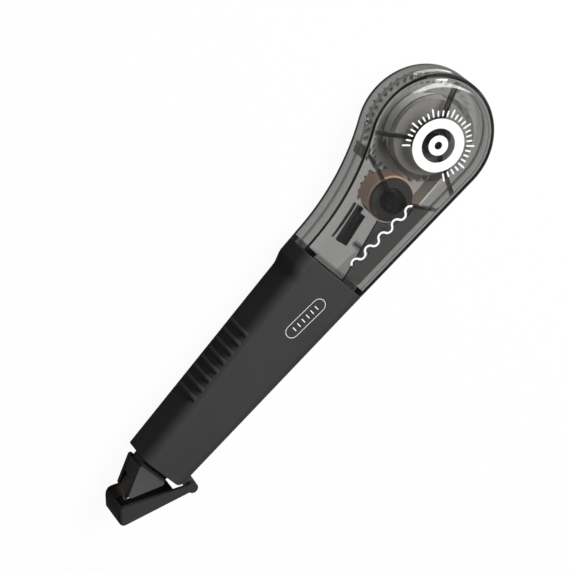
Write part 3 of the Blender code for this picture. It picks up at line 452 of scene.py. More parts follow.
def head_half(name, side, inset, seam):
    """Half of the head as a solid with a round rim: side is 1 for the front and -1 for the back."""
    face = MIDDLE + side * (MIDDLE - inset)
    obj = head_outline(name, seam, inset)
    raise_by((0, 0, face - seam))
    start_x = JOINT_X + inset
    pick(obj, "edges", lambda edge: all_at(2, face)(edge) and not all_at(0, start_x)(edge))
    bpy.ops.mesh.bevel(offset=EDGE_ROUND - inset, segments=RIM_STEPS, affect="EDGES")
    return done(obj)


def head_shell(name, side):
    """Hollow half of the head."""
    outer = head_half(name, side, 0, MIDDLE + side * FIT / 2)
    return combine(outer, head_half("hollow", side, WALL, MIDDLE - side * MM), "DIFFERENCE")


front_shell = head_shell("clear_front_shell", 1)
rear_shell = head_shell("clear_rear_shell", -1)
print("shell faces:", len(front_shell.data.polygons), len(rear_shell.data.polygons))

# %% [markdown]
# ## Sides of the grip
# The grip's two narrow sides taper towards the tip, and the ribbed side steps in at a smooth
# shoulder just below the head. The spigot, the sleeve and the finger ribs all have to follow them,
# so one function gives both sides at any place along the grip.

# %% Sides of the grip
GRIP_END_HIGH = 4.3 * MM
GRIP_END_LOW = 9.7 * MM
SHOULDER_START = 3.5 * MM
SHOULDER_END = 8.0 * MM
SHOULDER_DROP = 1.1 * MM


def grip_sides(x):
    """Plain and ribbed sides of the grip at x."""
    along = JOINT_X - x
    length = JOINT_X - END_X
    plain = NECK_LOW + (-GRIP_END_LOW - NECK_LOW) * along / length
    share = (along - SHOULDER_END) / (length - SHOULDER_END)
    shoulder = NECK_HIGH - SHOULDER_DROP
    if along > SHOULDER_END:
        return plain, shoulder + (GRIP_END_HIGH - shoulder) * share
    fall = min(max((along - SHOULDER_START) / (SHOULDER_END - SHOULDER_START), 0), 1)
    return plain, NECK_HIGH - SHOULDER_DROP * fall * fall * (3 - 2 * fall)


print("sides at the grip's end in mm:", [round(side / MM, 2) for side in grip_sides(END_X)])

# %% [markdown]
# ## Spigot between head and grip
# Each shell carries half of a short rectangular tube that plugs into the grip. The tube is a block
# with rounded long edges; the same block, drawn in by the wall, is its bore, which also opens the
# head's end wall so that the tape can run through.

# %% Spigot
SPIGOT_LENGTH = 9.0 * MM
SPIGOT_WALL = 0.9 * MM
SPIGOT_ROUND = 1.5 * MM
LEAST_ROUND = 0.3 * MM
GRIP_WALL = 1.2 * MM
SLEEVE_FIT = GRIP_WALL + FIT


def block(name, low, high):
    """Box between two corners."""
    bpy.ops.object.select_all(action="DESELECT")
    middle = (Vector(low) + Vector(high)) / 2
    bpy.ops.mesh.primitive_cube_add(size=1, location=middle, scale=Vector(high) - Vector(low))
    return take(name)


def spigot_block(name, inset, start_x, end_x, low_z, high_z):
    """Length of the spigot's rounded section between two heights."""
    plain, ribbed = grip_sides(JOINT_X - SPIGOT_LENGTH)
    fit = SLEEVE_FIT + inset
    obj = block(name, (start_x, plain + fit, fit), (end_x, ribbed - fit, FRONT - fit))
    bpy.ops.object.mode_set(mode="EDIT")
    pick(obj, "edges", lambda edge: abs(edge.verts[0].co.x - edge.verts[1].co.x) > MM)
    bpy.ops.mesh.bevel(offset=max(SPIGOT_ROUND - inset, LEAST_ROUND), segments=5, affect="EDGES")
    done(obj)
    return combine(obj, block("half", (-1, -1, low_z), (1, 1, high_z)), "INTERSECT")


def add_spigot(shell, low_z, high_z):
    """Half of the spigot on a shell, and the bore through both."""
    solid = spigot_block("spigot", 0, JOINT_X - SPIGOT_LENGTH, JOINT_X + WALL / 2, low_z, high_z)
    combine(shell, solid, "UNION")
    bore = spigot_block("bore", SPIGOT_WALL, JOINT_X - SPIGOT_LENGTH * 2, JOINT_X + WALL * 2, -1, 1)
    return combine(shell, bore, "DIFFERENCE")


add_spigot(front_shell, MIDDLE + FIT / 2, FRONT)
add_spigot(rear_shell, 0, MIDDLE - FIT / 2)
print("shell faces with spigot:", len(front_shell.data.polygons), len(rear_shell.data.polygons))

# %% [markdown]
# ## Where pieces belong
# Every piece rides on a body of the imported model, so it moves when a joint does. A piece that
# stands for plain nodes hides them. Its normals are weighted by face area first: flat faces then
# stay flat right up to a rounded edge, which matters most in clear plastic, where a bent normal
# bends the view.

# %% Hand a piece to the frame
def settle(obj, body, slot, finish, *nodes):
    """Give a finished piece its material, its body and the nodes that it stands for."""
    apply(obj, "WEIGHTED_NORMAL", keep_sharp=True)
    obj.data.materials.clear()
    obj.data.materials.append(finish)
    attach(obj, body)
    if nodes:
        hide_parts(*nodes)
    print(obj.name, "rides on", body, "with", len(obj.data.polygons), "faces")


print("waiting for their posts:", front_shell.name, rear_shell.name)

# %% [markdown]
# ## Bosses, ribs and posts
# The back shell carries a post for each reel and a peg for the pawl. The front shell has a boss
# over the end of each post, and thin ribs run from the bosses to the wall. Such thick places look
# nearly black in smoke plastic, so bosses and ribs are one piece of their own, a hair away from
# the shell, in a darker copy of the smoke plastic: its deeper tint and denser absorption are
# painted shade on top of what their thickness gives.

# %% Posts of the back shell
BITE = 0.2 * MM
HAIR = 0.02 * MM
INNER_FRONT = FRONT - WALL
SUPPLY_POST = 1.9 * MM
TAKE_UP_POST = 1.6 * MM
PEG_PLACE = TAKE_UP + Vector((-14.6, -1.05, 0)) * MM
PEG_RADIUS = 0.6 * MM
PEG_COVER = 0.3 * MM
PAWL_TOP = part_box("reverse_stop_pawl")[1].z


def rod(name, centre, radius, low, high, vertices=64):
    """Upright cylinder, for posts, bosses and bores."""
    bpy.ops.object.select_all(action="DESELECT")
    place = (centre[0], centre[1], (low + high) / 2)
    bpy.ops.mesh.primitive_cylinder_add(vertices=vertices, radius=radius, depth=high - low, location=place)
    return take(name)


for place, radius, top in ((SUPPLY, SUPPLY_POST, INNER_FRONT - FIT),
                           (TAKE_UP, TAKE_UP_POST, INNER_FRONT - FIT),
                           (PEG_PLACE, PEG_RADIUS, PAWL_TOP - PEG_COVER - FIT)):
    combine(rear_shell, rod("post", place, radius, WALL - BITE, top), "UNION")
settle(front_shell, "pen_body", "smoke", smoke, "front_shell")
settle(rear_shell, "pen_body", "smoke", smoke, "rear_shell")

# %% Bosses and ribs of the front shell
RIB_WIDTH = 0.9 * MM
BOSS_WALL = 1.0 * MM
BOSS_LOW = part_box("supply_gear")[1].z + FIT
PLATE_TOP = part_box("upper_guide_pin")[1].z
RIBS_TOP = INNER_FRONT - HAIR
SUPPLY_RIBS = (21, 120, 243)    # directions in degrees
TAKE_UP_RIBS = (70,)
PLATE_RIBS = (296,)             # from the take-up boss, over the carrier's plate


def add_rib(bosses, axis, angle, low):
    """Rib from an axis to the inside of the wall."""
    half = RIB_WIDTH / 2
    rib = block("rib", (0, -half, low), (2 * BULB_RADIUS, half, RIBS_TOP))
    turn = Matrix.Rotation(math.radians(angle), 4, "Z")
    rib.data.transform(Matrix.Translation((axis.x, axis.y, 0)) @ turn)
    combine(rib, head_half("limit", 1, WALL + HAIR, MIDDLE), "INTERSECT")
    combine(bosses, rib, "UNION")


bosses = rod("smoke_ribs", SUPPLY, SUPPLY_POST + FIT + BOSS_WALL, BOSS_LOW, RIBS_TOP - HAIR)
combine(bosses, rod("boss", TAKE_UP, TAKE_UP_POST + FIT + BOSS_WALL, BOSS_LOW, RIBS_TOP - HAIR), "UNION")
for axis, angles, low in ((SUPPLY, SUPPLY_RIBS, BOSS_LOW), (TAKE_UP, TAKE_UP_RIBS, BOSS_LOW),
                          (TAKE_UP, PLATE_RIBS, PLATE_TOP + FIT)):
    for angle in angles:
        add_rib(bosses, axis, angle, low)
for axis, post in ((SUPPLY, SUPPLY_POST), (TAKE_UP, TAKE_UP_POST)):
    combine(bosses, rod("socket", axis, post + FIT, BOSS_LOW - FIT, FRONT), "DIFFERENCE")
settle(bosses, "pen_body", "smoke", smoke_painted_shade)

# %% [markdown]
# A tab inside the neck's wall reaches past the seam and keeps the halves in line. It is traced
# between two curves that run beside the neck's hollow curve, so it lies flat against the wall. Like
# the ribs, it is a piece of its own in the darker copy of the smoke plastic, whose deeper tint is
# painted shade.

# %% Tab in the neck
TAB_X = JOINT_X + 27.8 * MM
TAB_LENGTH = 2.8 * MM
TAB_THICK = 0.9 * MM
TAB_ROOT = 2.6 * MM
TAB_HIGH = 1.6 * MM


def trace(name, points):
    """Closed outline through points, filled with one face."""
    obj = begin(name, points[0])
    for here, there in zip(points, points[1:]):
        line_by(Vector(there) - Vector(here))
    fill()
    return obj


def neck_side(x, inset, z):
    """Point on the neck's hollow curve at x."""
    return Vector((x, HOLLOW_Y - math.sqrt((NECK_CURVE + inset) ** 2 - (x - HOLLOW_X) ** 2), z))


def tab_slab(outer, low, high):
    """Slab beside the neck's wall, from an outer inset to the tab's inner face."""
    inner = WALL + FIT + TAB_THICK
    start = TAB_X - TAB_LENGTH / 2
    end = TAB_X + TAB_LENGTH / 2
    obj = trace("tab", [neck_side(start, outer, low), neck_side(start, inner, low),
                        neck_side(end, inner, low), neck_side(end, outer, low)])
    raise_by((0, 0, high - low))
    return obj


tab = done(tab_slab(WALL + HAIR, MIDDLE - TAB_ROOT, MIDDLE - FIT))
combine(tab, tab_slab(WALL + FIT, MIDDLE - TAB_ROOT + BITE, MIDDLE + TAB_HIGH), "UNION")
tab.name = "smoke_tab"
settle(tab, "pen_body", "smoke", smoke_painted_shade)

# %% [markdown]
# On the ribbed side the seam shows as a dark line in the wall, so a thin black strip lies in the
# seam there. The seam is real; the strip's darkness is painted shade in it. It is cut from a slab
# of the head's outline: a smaller slab takes out its inside, and two blocks take away its end at
# the joint and its plain side.

# %% Painted shade in the seam
SEAM_SHADE_INSET = 0.15 * MM
SEAM_SHADE_DEPTH = 0.5 * MM
SEAM_SHADE_HIGH = 0.24 * MM
seam_shade = head_outline("weld_line", MIDDLE - SEAM_SHADE_HIGH / 2, SEAM_SHADE_INSET)
raise_by((0, 0, SEAM_SHADE_HIGH))
done(seam_shade)
inside = head_outline("inside", MIDDLE - SEAM_SHADE_HIGH, SEAM_SHADE_INSET + SEAM_SHADE_DEPTH)
raise_by((0, 0, 2 * SEAM_SHADE_HIGH))
combine(seam_shade, inside, "DIFFERENCE")
combine(seam_shade, block("joint_end", (JOINT_X - MM, -1, -1), (JOINT_X + WALL, 1, 1)), "DIFFERENCE")
combine(seam_shade, block("plain_half", (-1, -1, -1), (1, 0, 1)), "DIFFERENCE")
# Black finish: painted shade of the seam.
settle(seam_shade, "pen_body", "smoke", inner_black)

# %% [markdown]
# ## Grip sleeve
# The grip is a tapered rectangular tube with rounded long edges. A scaled block would taper too,
# but its roundings would shrink with it. So a rounded rectangle is drawn across the pen and
# extruded towards the tip in short lengths; after each length the two narrow sides are moved in,
# and the rounding of the edges keeps its size all the way.

# %% Grip sleeve
SHOULDER_STEPS = 12
SLEEVE_TOP = JOINT_X - 0.06 * MM
SLEEVE_RIM = 0.15 * MM


def grip_loft(name, inset, start_x, end_x):
    """Tapered block along the grip, drawn in by an inset."""
    plain, ribbed = grip_sides(start_x)
    low, high = inset, FRONT - inset
    obj = trace(name, [Vector((start_x, plain + inset, low)), Vector((start_x, ribbed - inset, low)),
                       Vector((start_x, ribbed - inset, high)), Vector((start_x, plain + inset, high))])
    bpy.ops.mesh.select_all(action="SELECT")
    bpy.ops.mesh.bevel(offset=EDGE_ROUND - inset, segments=10, affect="VERTICES")
    shoulder = [JOINT_X - SHOULDER_START - (SHOULDER_END - SHOULDER_START) * step / SHOULDER_STEPS
                for step in range(SHOULDER_STEPS + 1)]
    stations = [start_x] + [x for x in shoulder if end_x < x < start_x] + [end_x]
    split = (plain + ribbed) / 2
    for before, x in zip(stations, stations[1:]):
        old, new = grip_sides(before), grip_sides(x)
        pick(obj, "faces", all_at(0, before))
        line_by((x - before, 0, 0))
        for index, test in ((0, lambda vert: vert.co.y < split), (1, lambda vert: vert.co.y > split)):
            pick(obj, "verts", lambda vert: abs(vert.co.x - x) < SLACK and test(vert))
            bpy.ops.transform.translate(value=(0, new[index] - old[index], 0))
    face_outwards()
    return obj


sleeve = grip_loft("black_grip_sleeve", 0, SLEEVE_TOP, END_X)
pick(sleeve, "edges", lambda edge: all_at(0, END_X)(edge) or all_at(0, SLEEVE_TOP)(edge))
bpy.ops.mesh.bevel(offset=SLEEVE_RIM, segments=3, affect="EDGES")
done(sleeve)
print("sleeve faces:", len(sleeve.data.polygons))

# %% [markdown]
# The lower corner beside the hinge is rounded off, a lug for the hinge pin stands out there, and
# the tube is hollow with a solid nose that the tip's stem passes through. The corner is cut by a
# slab with a spun edge, because a bevel there would run into the roundings of the long edges.

# %% Corner and lug of the grip
CORNER_ROUND = 2.9 * MM
CORNER_STEPS = 20
LUG_RADIUS = 1.45 * MM
LUG_ROOT = 3.6 * MM
LUG_LEAN = 75
CAP_WALL = 1.2 * MM
LUG_SIDE = CAP_WALL + FIT
cap_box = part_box("tip_cap")
CAP_BACK = cap_box[0].z
CAP_FRONT = cap_box[1].z
BAR_STEPS = 24


def bar(name, start, end, radius, low, high):
    """Bar with round ends between two points of the plan."""
    along = (Vector(end) - Vector(start)).xy
    side = Vector((along.y, -along.x, 0)).normalized() * radius
    first = Vector((start[0], start[1], low))
    last = Vector((end[0], end[1], low))
    obj = begin(name, first - side)
    arc_round(first, math.pi, BAR_STEPS)
    line_by(last - first)
    arc_round(last, math.pi, BAR_STEPS)
    fill()
    raise_by((0, 0, high - low))
    return obj


plain_end = grip_sides(END_X)[0]
centre = Vector((END_X + CORNER_ROUND, plain_end + CORNER_ROUND, -MM))
corner = begin("corner", centre + Vector((-CORNER_ROUND, 0, 0)))
arc_round(centre, math.pi / 2, CORNER_STEPS)
line_by((0, -CORNER_ROUND, 0))
line_by((-CORNER_ROUND * 2, 0, 0))
line_by((0, CORNER_ROUND * 2, 0))
fill()
raise_by((0, 0, FRONT + 2 * MM))
combine(sleeve, corner, "DIFFERENCE")
root = polar(HINGE, LUG_ROOT, LUG_LEAN, 0)
combine(sleeve, bar("lug", HINGE, root, LUG_RADIUS, CAP_BACK + LUG_SIDE, CAP_FRONT - LUG_SIDE), "UNION")
print("sleeve faces with corner and lug:", len(sleeve.data.polygons))

# %% Hollow, mouth and bore of the grip
END_BLOCK = 4.5 * MM
STEM_HIGH = 2.0 * MM
STEM_LOW = 5.9 * MM
pin_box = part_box("cap_hinge_pin")
PIN_RADIUS = (pin_box[1].x - pin_box[0].x) / 2
RUN_GAP = 0.2 * MM              # round pins and posts that something turns on
combine(sleeve, grip_loft("hollow", GRIP_WALL, JOINT_X + WALL, END_X + END_BLOCK), "DIFFERENCE")
mouth = block("mouth", (END_X - WALL, -STEM_LOW - FIT, FRONT - PLATE_TOP - FIT),
              (END_X + END_BLOCK + WALL, STEM_HIGH + FIT, PLATE_TOP + FIT))
combine(sleeve, mouth, "DIFFERENCE")
combine(sleeve, rod("pin_bore", HINGE, PIN_RADIUS + RUN_GAP, -MM, FRONT + MM), "DIFFERENCE")
print("sleeve faces with hollow:", len(sleeve.data.polygons))

# %% [markdown]
# ## Finger ribs
# Eight low ribs cross the narrow side of the grip. One rib is a short round bar: its front end is
# spun over the rounded edge and shrunk into the surface, and its rear end is drawn down and shrunk
# before it reaches the far edge. Each of the eight is made at its own place, because the side
# tapers, and joined to the sleeve.

# %% Finger ribs
RIBS = 8
RIB_PITCH = 2.88 * MM
RIB_START = 24.9 * MM
FINGER_RADIUS = 0.8 * MM
FINGER_PROUD = 0.45 * MM
FINGER_WRAP = math.radians(48)
FINGER_REAR = 0.6 * MM          # where a rib ends before the far edge's rounding
TAIL = Vector((0, -0.4, -0.6)) * MM
NOSE = Vector((0, -0.5 * math.cos(FINGER_WRAP), 0.25 * math.sin(FINGER_WRAP))) * MM
END_SIZE = 0.45                 # of the bar, at both ends


def finger_rib(x):
    """Rib at x on the ribbed side of the grip."""
    side = grip_sides(x)[1]
    y = side + FINGER_PROUD - FINGER_RADIUS
    rear = EDGE_ROUND + FINGER_REAR
    front = FRONT - EDGE_ROUND
    rib = rod("finger_rib", (x, y), FINGER_RADIUS, rear, front, vertices=24)
    bpy.ops.object.mode_set(mode="EDIT")
    pick(rib, "faces", all_at(2, rear))
    line_by(TAIL)
    bpy.ops.transform.resize(value=(END_SIZE, END_SIZE, 1), center_override=Vector((x, y, rear)) + TAIL)
    pick(rib, "faces", all_at(2, front))
    arc_round((x, side - EDGE_ROUND, front), FINGER_WRAP, steps=8, axis=(1, 0, 0))
    line_by(NOSE)
    ends = [face for face in bmesh.from_edit_mesh(rib.data).faces if face.select]
    bpy.ops.transform.resize(value=(END_SIZE,) * 3, center_override=ends[0].calc_center_median())
    face_outwards()
    return done(rib)


for index in range(RIBS):
    combine(sleeve, finger_rib(JOINT_X - RIB_START - RIB_PITCH * index), "UNION")
settle(sleeve, "pen_body", "grip_black", grip_black, "grip_sleeve")

# %% [markdown]
# ## Tip cap
# The cap is a shallow trough under the tip, on two arms that end in round knobs beside the lug.
# It is drawn from the side, in its own plan turned about the hinge, and raised to its width, which
# keeps its measures straight although the cap lies askew. The two corners of its far end are
# bevelled first.

# %% Side view of the cap
CAP_LEAN = 146.5
CAP_REACH = 20.45 * MM
CAP_TOP_REACH = 19.5 * MM
CAP_END_TOP = 1.64 * MM
CAP_END_LOW = 3.4 * MM
CAP_ARM_TOP = 0.95 * MM
CAP_ARM_LOW = 0.75 * MM
CAP_CORNER = 2.0 * MM
CAP_TOP_CORNER = 1.8 * MM
AT_CORNER = 0.1 * MM
cap_turn = Matrix.Rotation(math.radians(CAP_LEAN), 3, "Z")


def cap_place(x, y, z):
    """Point of the cap's own plan, x along the cap from the hinge and y down to its floor."""
    return Vector((HINGE.x, HINGE.y, z)) + cap_turn @ Vector((x, y, 0))


def cap_slab(name, corners, low, high):
    """Slab in the cap's plan."""
    obj = trace(name, [cap_place(x, y, low) for x, y in corners])
    raise_by((0, 0, high - low))
    return obj


def upright_at(place):
    """Test: an upright edge at a place of the plan."""
    return lambda edge: all((vert.co.xy - place.xy).length < AT_CORNER for vert in edge.verts)


cap = cap_slab("black_tip_cap", ((0, -CAP_ARM_TOP), (0, CAP_ARM_LOW), (CAP_REACH, CAP_END_LOW),
                                 (CAP_TOP_REACH, -CAP_END_TOP)), CAP_BACK, CAP_FRONT)
pick(cap, "edges", upright_at(cap_place(CAP_REACH, CAP_END_LOW, 0)))
bpy.ops.mesh.bevel(offset=CAP_CORNER, segments=10, affect="EDGES")
pick(cap, "edges", upright_at(cap_place(CAP_TOP_REACH, -CAP_END_TOP, 0)))
bpy.ops.mesh.bevel(offset=CAP_TOP_CORNER, segments=8, affect="EDGES")
done(cap)
print("cap faces:", len(cap.data.polygons))

# %% [markdown]
# The far end is also round when it is looked at along its slant. A slab with two rounded corners,
# set along that slant, trims it, since a bevel could not round edges that run out into the corners.

# %% Rounded end of the cap
CAP_FRONT_ROUND = 1.2 * MM
CAP_REAR_ROUND = 3.0 * MM
slant = cap_turn @ Vector((CAP_TOP_REACH - CAP_REACH, -CAP_END_TOP - CAP_END_LOW, 0)).normalized()
outward = Vector((0, 0, 1)).cross(slant)
foot = cap_place(CAP_REACH, CAP_END_LOW, CAP_BACK) - slant * CAP_REACH
width = CAP_FRONT - CAP_BACK
rear_centre = foot + Vector((0, 0, CAP_REAR_ROUND)) - outward * CAP_REAR_ROUND
front_centre = foot + Vector((0, 0, width - CAP_FRONT_ROUND)) - outward * CAP_FRONT_ROUND
plan = begin("plan", foot - outward * 2 * CAP_REACH)
line_by(outward * (2 * CAP_REACH - CAP_REAR_ROUND))
arc_round(rear_centre, math.pi / 2, steps=16, axis=tuple(slant))
line_by((0, 0, width - CAP_REAR_ROUND - CAP_FRONT_ROUND))
arc_round(front_centre, math.pi / 2, steps=8, axis=tuple(slant))
line_by(outward * (CAP_FRONT_ROUND - 2 * CAP_REACH))
fill()
raise_by(slant * 3 * CAP_REACH)
combine(cap, plan, "INTERSECT")
print("cap faces with rounded end:", len(cap.data.polygons))

# %% [markdown]
# Now the knobs are added and the trough is cut, which leaves the two arms. At last a Bevel
# modifier softens every sharp edge, because small mouldings have none.

# %% Knobs and trough of the cap
CAP_KNOB = 1.4 * MM
CAP_FLOOR_START = 4.2 * MM
CAP_SOFT = 0.22 * MM


def soften(obj, width, angle=40):
    """Small roundings on every edge that is sharper than an angle."""
    return done(apply(obj, "BEVEL", width=width, segments=2, limit_method="ANGLE",
                      angle_limit=math.radians(angle), use_clamp_overlap=True))


combine(cap, rod("knob", HINGE, CAP_KNOB, CAP_BACK, CAP_FRONT), "UNION")
slope = (CAP_END_LOW - CAP_ARM_LOW) / CAP_REACH
inside_end = CAP_TOP_REACH - CAP_WALL
floor_start = CAP_ARM_LOW + slope * CAP_FLOOR_START - CAP_WALL
floor_end = CAP_ARM_LOW + slope * inside_end - CAP_WALL
trough = cap_slab("trough", ((-CAP_REACH, -CAP_REACH), (inside_end, -CAP_REACH), (inside_end, floor_end),
                             (CAP_FLOOR_START, floor_start), (CAP_FLOOR_START, CAP_REACH),
                             (-CAP_REACH, CAP_REACH)), CAP_BACK + CAP_WALL, CAP_FRONT - CAP_WALL)
combine(cap, trough, "DIFFERENCE")
half_wall = CAP_WALL / 2
bore = rod("bore", HINGE, PIN_RADIUS + RUN_GAP, CAP_BACK + half_wall, CAP_FRONT - half_wall)
combine(cap, bore, "DIFFERENCE")
soften(cap, CAP_SOFT)
settle(cap, "cap", "grip_black", cap_black, "tip_cap")

# %% [markdown]
# ## Turned rings
# Cores, flange and wound rolls are rings. They could be cylinders with a bore, but half of a ring's
# section, drawn beside the axis and spun once round, has its small chamfers from the start. It is
# what a lathe or a winding machine does.

# %% Turned rings
RING_STEPS = 128
RING_EDGE = 0.08 * MM


def ring(name, axis, inner, outer, low, high, edge=RING_EDGE):
    """Ring with a rectangular section and small chamfers, spun round an upright axis."""
    section = ((inner + edge, low), (outer - edge, low), (outer, low + edge), (outer, high - edge),
               (outer - edge, high), (inner + edge, high), (inner, high - edge), (inner, low + edge))
    obj = trace(name, [Vector((axis.x + radius, axis.y, z)) for radius, z in section])
    pick(obj, "faces", lambda face: True)
    bpy.ops.mesh.delete(type="ONLY_FACE")
    bpy.ops.mesh.select_all(action="SELECT")
    arc_round((axis.x, axis.y, 0), math.tau, RING_STEPS)
    merge_points()
    face_outwards()
    return done(obj)


def ring_from(name, node, axis, inner):
    """Ring with the outer size and heights of a node."""
    low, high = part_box(node)
    return ring(name, axis, inner, high.x - axis.x, low.z, high.z)


CORE_RADIUS = 5.0 * MM
CORE_WALL = 0.8 * MM
HUB_WALL = 0.9 * MM
supply_hub = SUPPLY_POST + RUN_GAP + HUB_WALL
settle(ring_from("wound_tape_roll", "tape_roll", SUPPLY, CORE_RADIUS + FIT),
       "tape_spool", "white_tape", white_roll, "tape_roll")
settle(ring_from("grey_supply_core", "supply_core", SUPPLY, CORE_RADIUS - CORE_WALL),
       "tape_spool", "grey_plastic", grey_plastic, "supply_core")
settle(ring_from("smoke_supply_flange", "supply_flange", SUPPLY, supply_hub + FIT),
       "tape_spool", "smoke", smoke_disc, "supply_flange")

# %% Take-up drum and its film
DRUM_RADIUS = 4.9 * MM
RIM_THICK = 0.7 * MM
RIM_SUNK = 0.01 * MM            # keeps the faces of rim and drum apart
take_up_hub = TAKE_UP_POST + RUN_GAP + HUB_WALL
settle(ring_from("wound_film_roll", "used_film_roll", TAKE_UP, DRUM_RADIUS + FIT),
       "take_up_wheel", "bare_film", film_roll, "used_film_roll")
drum_low, drum_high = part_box("take_up_core")
drum = ring("black_take_up_core", TAKE_UP, take_up_hub + FIT, DRUM_RADIUS, drum_low.z, drum_high.z)
rim = ring("rim", TAKE_UP, take_up_hub + FIT * 2, drum_high.x - TAKE_UP.x,
           drum_high.z - RIM_THICK, drum_high.z)
rim.data.transform(Matrix.Translation((0, 0, -RIM_SUNK)))
combine(drum, rim, "UNION")
settle(drum, "take_up_wheel", "inner_black", inner_black, "take_up_core")

# %% [markdown]
# ## Gears
# The reels are tied by two moulded gears. One tooth could be modelled and copied round, but a
# circle with ten points for each tooth is quicker: of every ten points, three are pushed out to
# the tip of the tooth, two stay on the pitch circle and the rest are drawn in to the root. The
# outline is then raised, the large gear's web is sunk, and the hub and the bore are added.

# %% Toothed outline
MODULE = 0.6 * MM
TIP_OUT = 0.8
ROOT_IN = 1.25
SUPPLY_TEETH = 44
TAKE_UP_TEETH = 16
TOOTH_POINTS = 10
ON_PITCH = 0.01 * MM


def toothed(name, axis, teeth, low):
    """Flat toothed outline in edit mode; returns it with the angle of its first tooth."""
    pitch = MODULE * teeth / 2
    bpy.ops.object.select_all(action="DESELECT")
    place = (axis.x, axis.y, low)
    bpy.ops.mesh.primitive_circle_add(vertices=teeth * TOOTH_POINTS, radius=pitch, fill_type="NGON",
                                      location=place)
    obj = take(name)
    bpy.ops.object.mode_set(mode="EDIT")
    start = bmesh.from_edit_mesh(obj.data).verts
    start.ensure_lookup_table()
    first = math.atan2(start[0].co.y - axis.y, start[0].co.x - axis.x)

    def from_tip(vert):
        angle = math.atan2(vert.co.y - axis.y, vert.co.x - axis.x) - first
        step = round(angle / math.tau * teeth * TOOTH_POINTS) % TOOTH_POINTS
        return min(step, TOOTH_POINTS - step)

    for wanted, radius in (((0, 1), pitch + TIP_OUT * MODULE), ((3, 4, 5), pitch - ROOT_IN * MODULE)):
        marks = {vert.index for vert in bmesh.from_edit_mesh(obj.data).verts if from_tip(vert) in wanted
                 and abs((vert.co.xy - axis.xy).length - pitch) < ON_PITCH}
        pick(obj, "verts", lambda vert: vert.index in marks)
        grow = radius / pitch
        bpy.ops.transform.resize(value=(grow, grow, 1), center_override=place)
    return obj, first


print("pitch radii in mm:", [round(MODULE * teeth / 2 / MM, 2) for teeth in (SUPPLY_TEETH, TAKE_UP_TEETH)])

# %% Gears
GEAR_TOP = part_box("supply_gear")[0].z + 1.8 * MM
WEB_ROOM = 2.0 * MM             # round the hub
WEB_RADIUS = 11.4 * MM
WEB_SUNK = 0.5 * MM


def gear(name, node, axis, teeth, phase, hub, bore):
    """Gear in the place of a node, with one tooth at the phase angle in degrees."""
    low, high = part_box(node)
    obj, first = toothed(name, axis, teeth, low.z)
    raise_by((0, 0, GEAR_TOP - low.z))
    done(obj)
    turn = Matrix.Rotation(math.radians(phase) - first, 4, "Z")
    obj.data.transform(Matrix.Translation(axis) @ turn @ Matrix.Translation(-axis))
    if teeth == SUPPLY_TEETH:
        sunk = ring("web", axis, hub + WEB_ROOM, WEB_RADIUS, GEAR_TOP - WEB_SUNK, GEAR_TOP + MM)
        combine(obj, sunk, "DIFFERENCE")
    combine(obj, rod("hub", axis, hub, low.z, high.z, vertices=96), "UNION")
    combine(obj, rod("bore", axis, bore, low.z - MM, high.z + MM, vertices=96), "DIFFERENCE")
    return done(obj)


bearing = math.degrees(math.atan2(TAKE_UP.y - SUPPLY.y, TAKE_UP.x - SUPPLY.x))
half_tooth = 360 / TAKE_UP_TEETH / 2
big = gear("grey_supply_gear", "supply_gear", SUPPLY, SUPPLY_TEETH, bearing, supply_hub,
           SUPPLY_POST + RUN_GAP)
settle(big, "supply_wheel", "grey_plastic", grey_plastic, "supply_gear")
small = gear("black_take_up_gear", "take_up_gear", TAKE_UP, TAKE_UP_TEETH, bearing + 180 + half_tooth,
             take_up_hub, TAKE_UP_POST + RUN_GAP)
settle(small, "take_up_wheel", "inner_black", inner_black, "take_up_gear")

# %% [markdown]
# ## Carrier, blade and pawl
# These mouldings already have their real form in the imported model, but with sharp edges, and a
# sharp edge never catches the light. A copy of each is merged into one skin, its flat faces are
# joined, and a small Bevel modifier rounds the edges. The carrier's stem also gets a band sunk
# front and back where it leaves the grip, and the pawl gets a thin cover over its peg.

# %% Softened copies
FLAT_BELOW = math.radians(0.5)
STEM_SUNK = 1.3 * MM
STEM_BAND = 1.55 * MM
CARRIER_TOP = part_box("tip_carrier")[1].z
COVER_SUNK = 0.01 * MM


def soft_copy(node, name, width):
    """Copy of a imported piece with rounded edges."""
    obj = frame["nodes"][node].copy()
    obj.data = obj.data.copy()
    obj.name = name
    bpy.context.scene.collection.objects.link(obj)
    done(obj)
    bpy.ops.object.mode_set(mode="EDIT")
    bpy.ops.mesh.select_all(action="SELECT")
    bpy.ops.mesh.remove_doubles(threshold=2 * MERGE)
    bpy.ops.mesh.dissolve_limited(angle_limit=FLAT_BELOW)
    bpy.ops.object.mode_set(mode="OBJECT")
    return soften(obj, width, angle=30)


carrier = soft_copy("tip_carrier", "black_tip_carrier", 0.12 * MM)
for low, high in ((CARRIER_TOP - STEM_SUNK, FRONT), (0, FRONT - CARRIER_TOP + STEM_SUNK)):
    band = block("band", (END_X - STEM_BAND, -STEM_LOW - MM, low), (END_X + STEM_BAND, STEM_HIGH + MM, high))
    combine(carrier, band, "DIFFERENCE")
# Lighter black on the carrier: painted light, as it is the same moulding as blade and pawl.
settle(carrier, "pen_body", "inner_black", plate_black, "tip_carrier")
blade = soft_copy("tip_blade", "black_tip_blade", 0.10 * MM)
settle(blade, "pen_body", "inner_black", inner_black, "tip_blade")
pawl = soft_copy("reverse_stop_pawl", "black_pawl", 0.08 * MM)
cover = rod("cover", PEG_PLACE, PEG_RADIUS + FIT, PAWL_TOP - PEG_COVER, PAWL_TOP - COVER_SUNK, vertices=32)
combine(pawl, cover, "UNION")
settle(pawl, "pen_body", "inner_black", inner_black, "reverse_stop_pawl")

# %% [markdown]
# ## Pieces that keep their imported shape
# Pins, rollers and tape runs already have their real form and no edge that would show, so they
# stay and only get a finish.

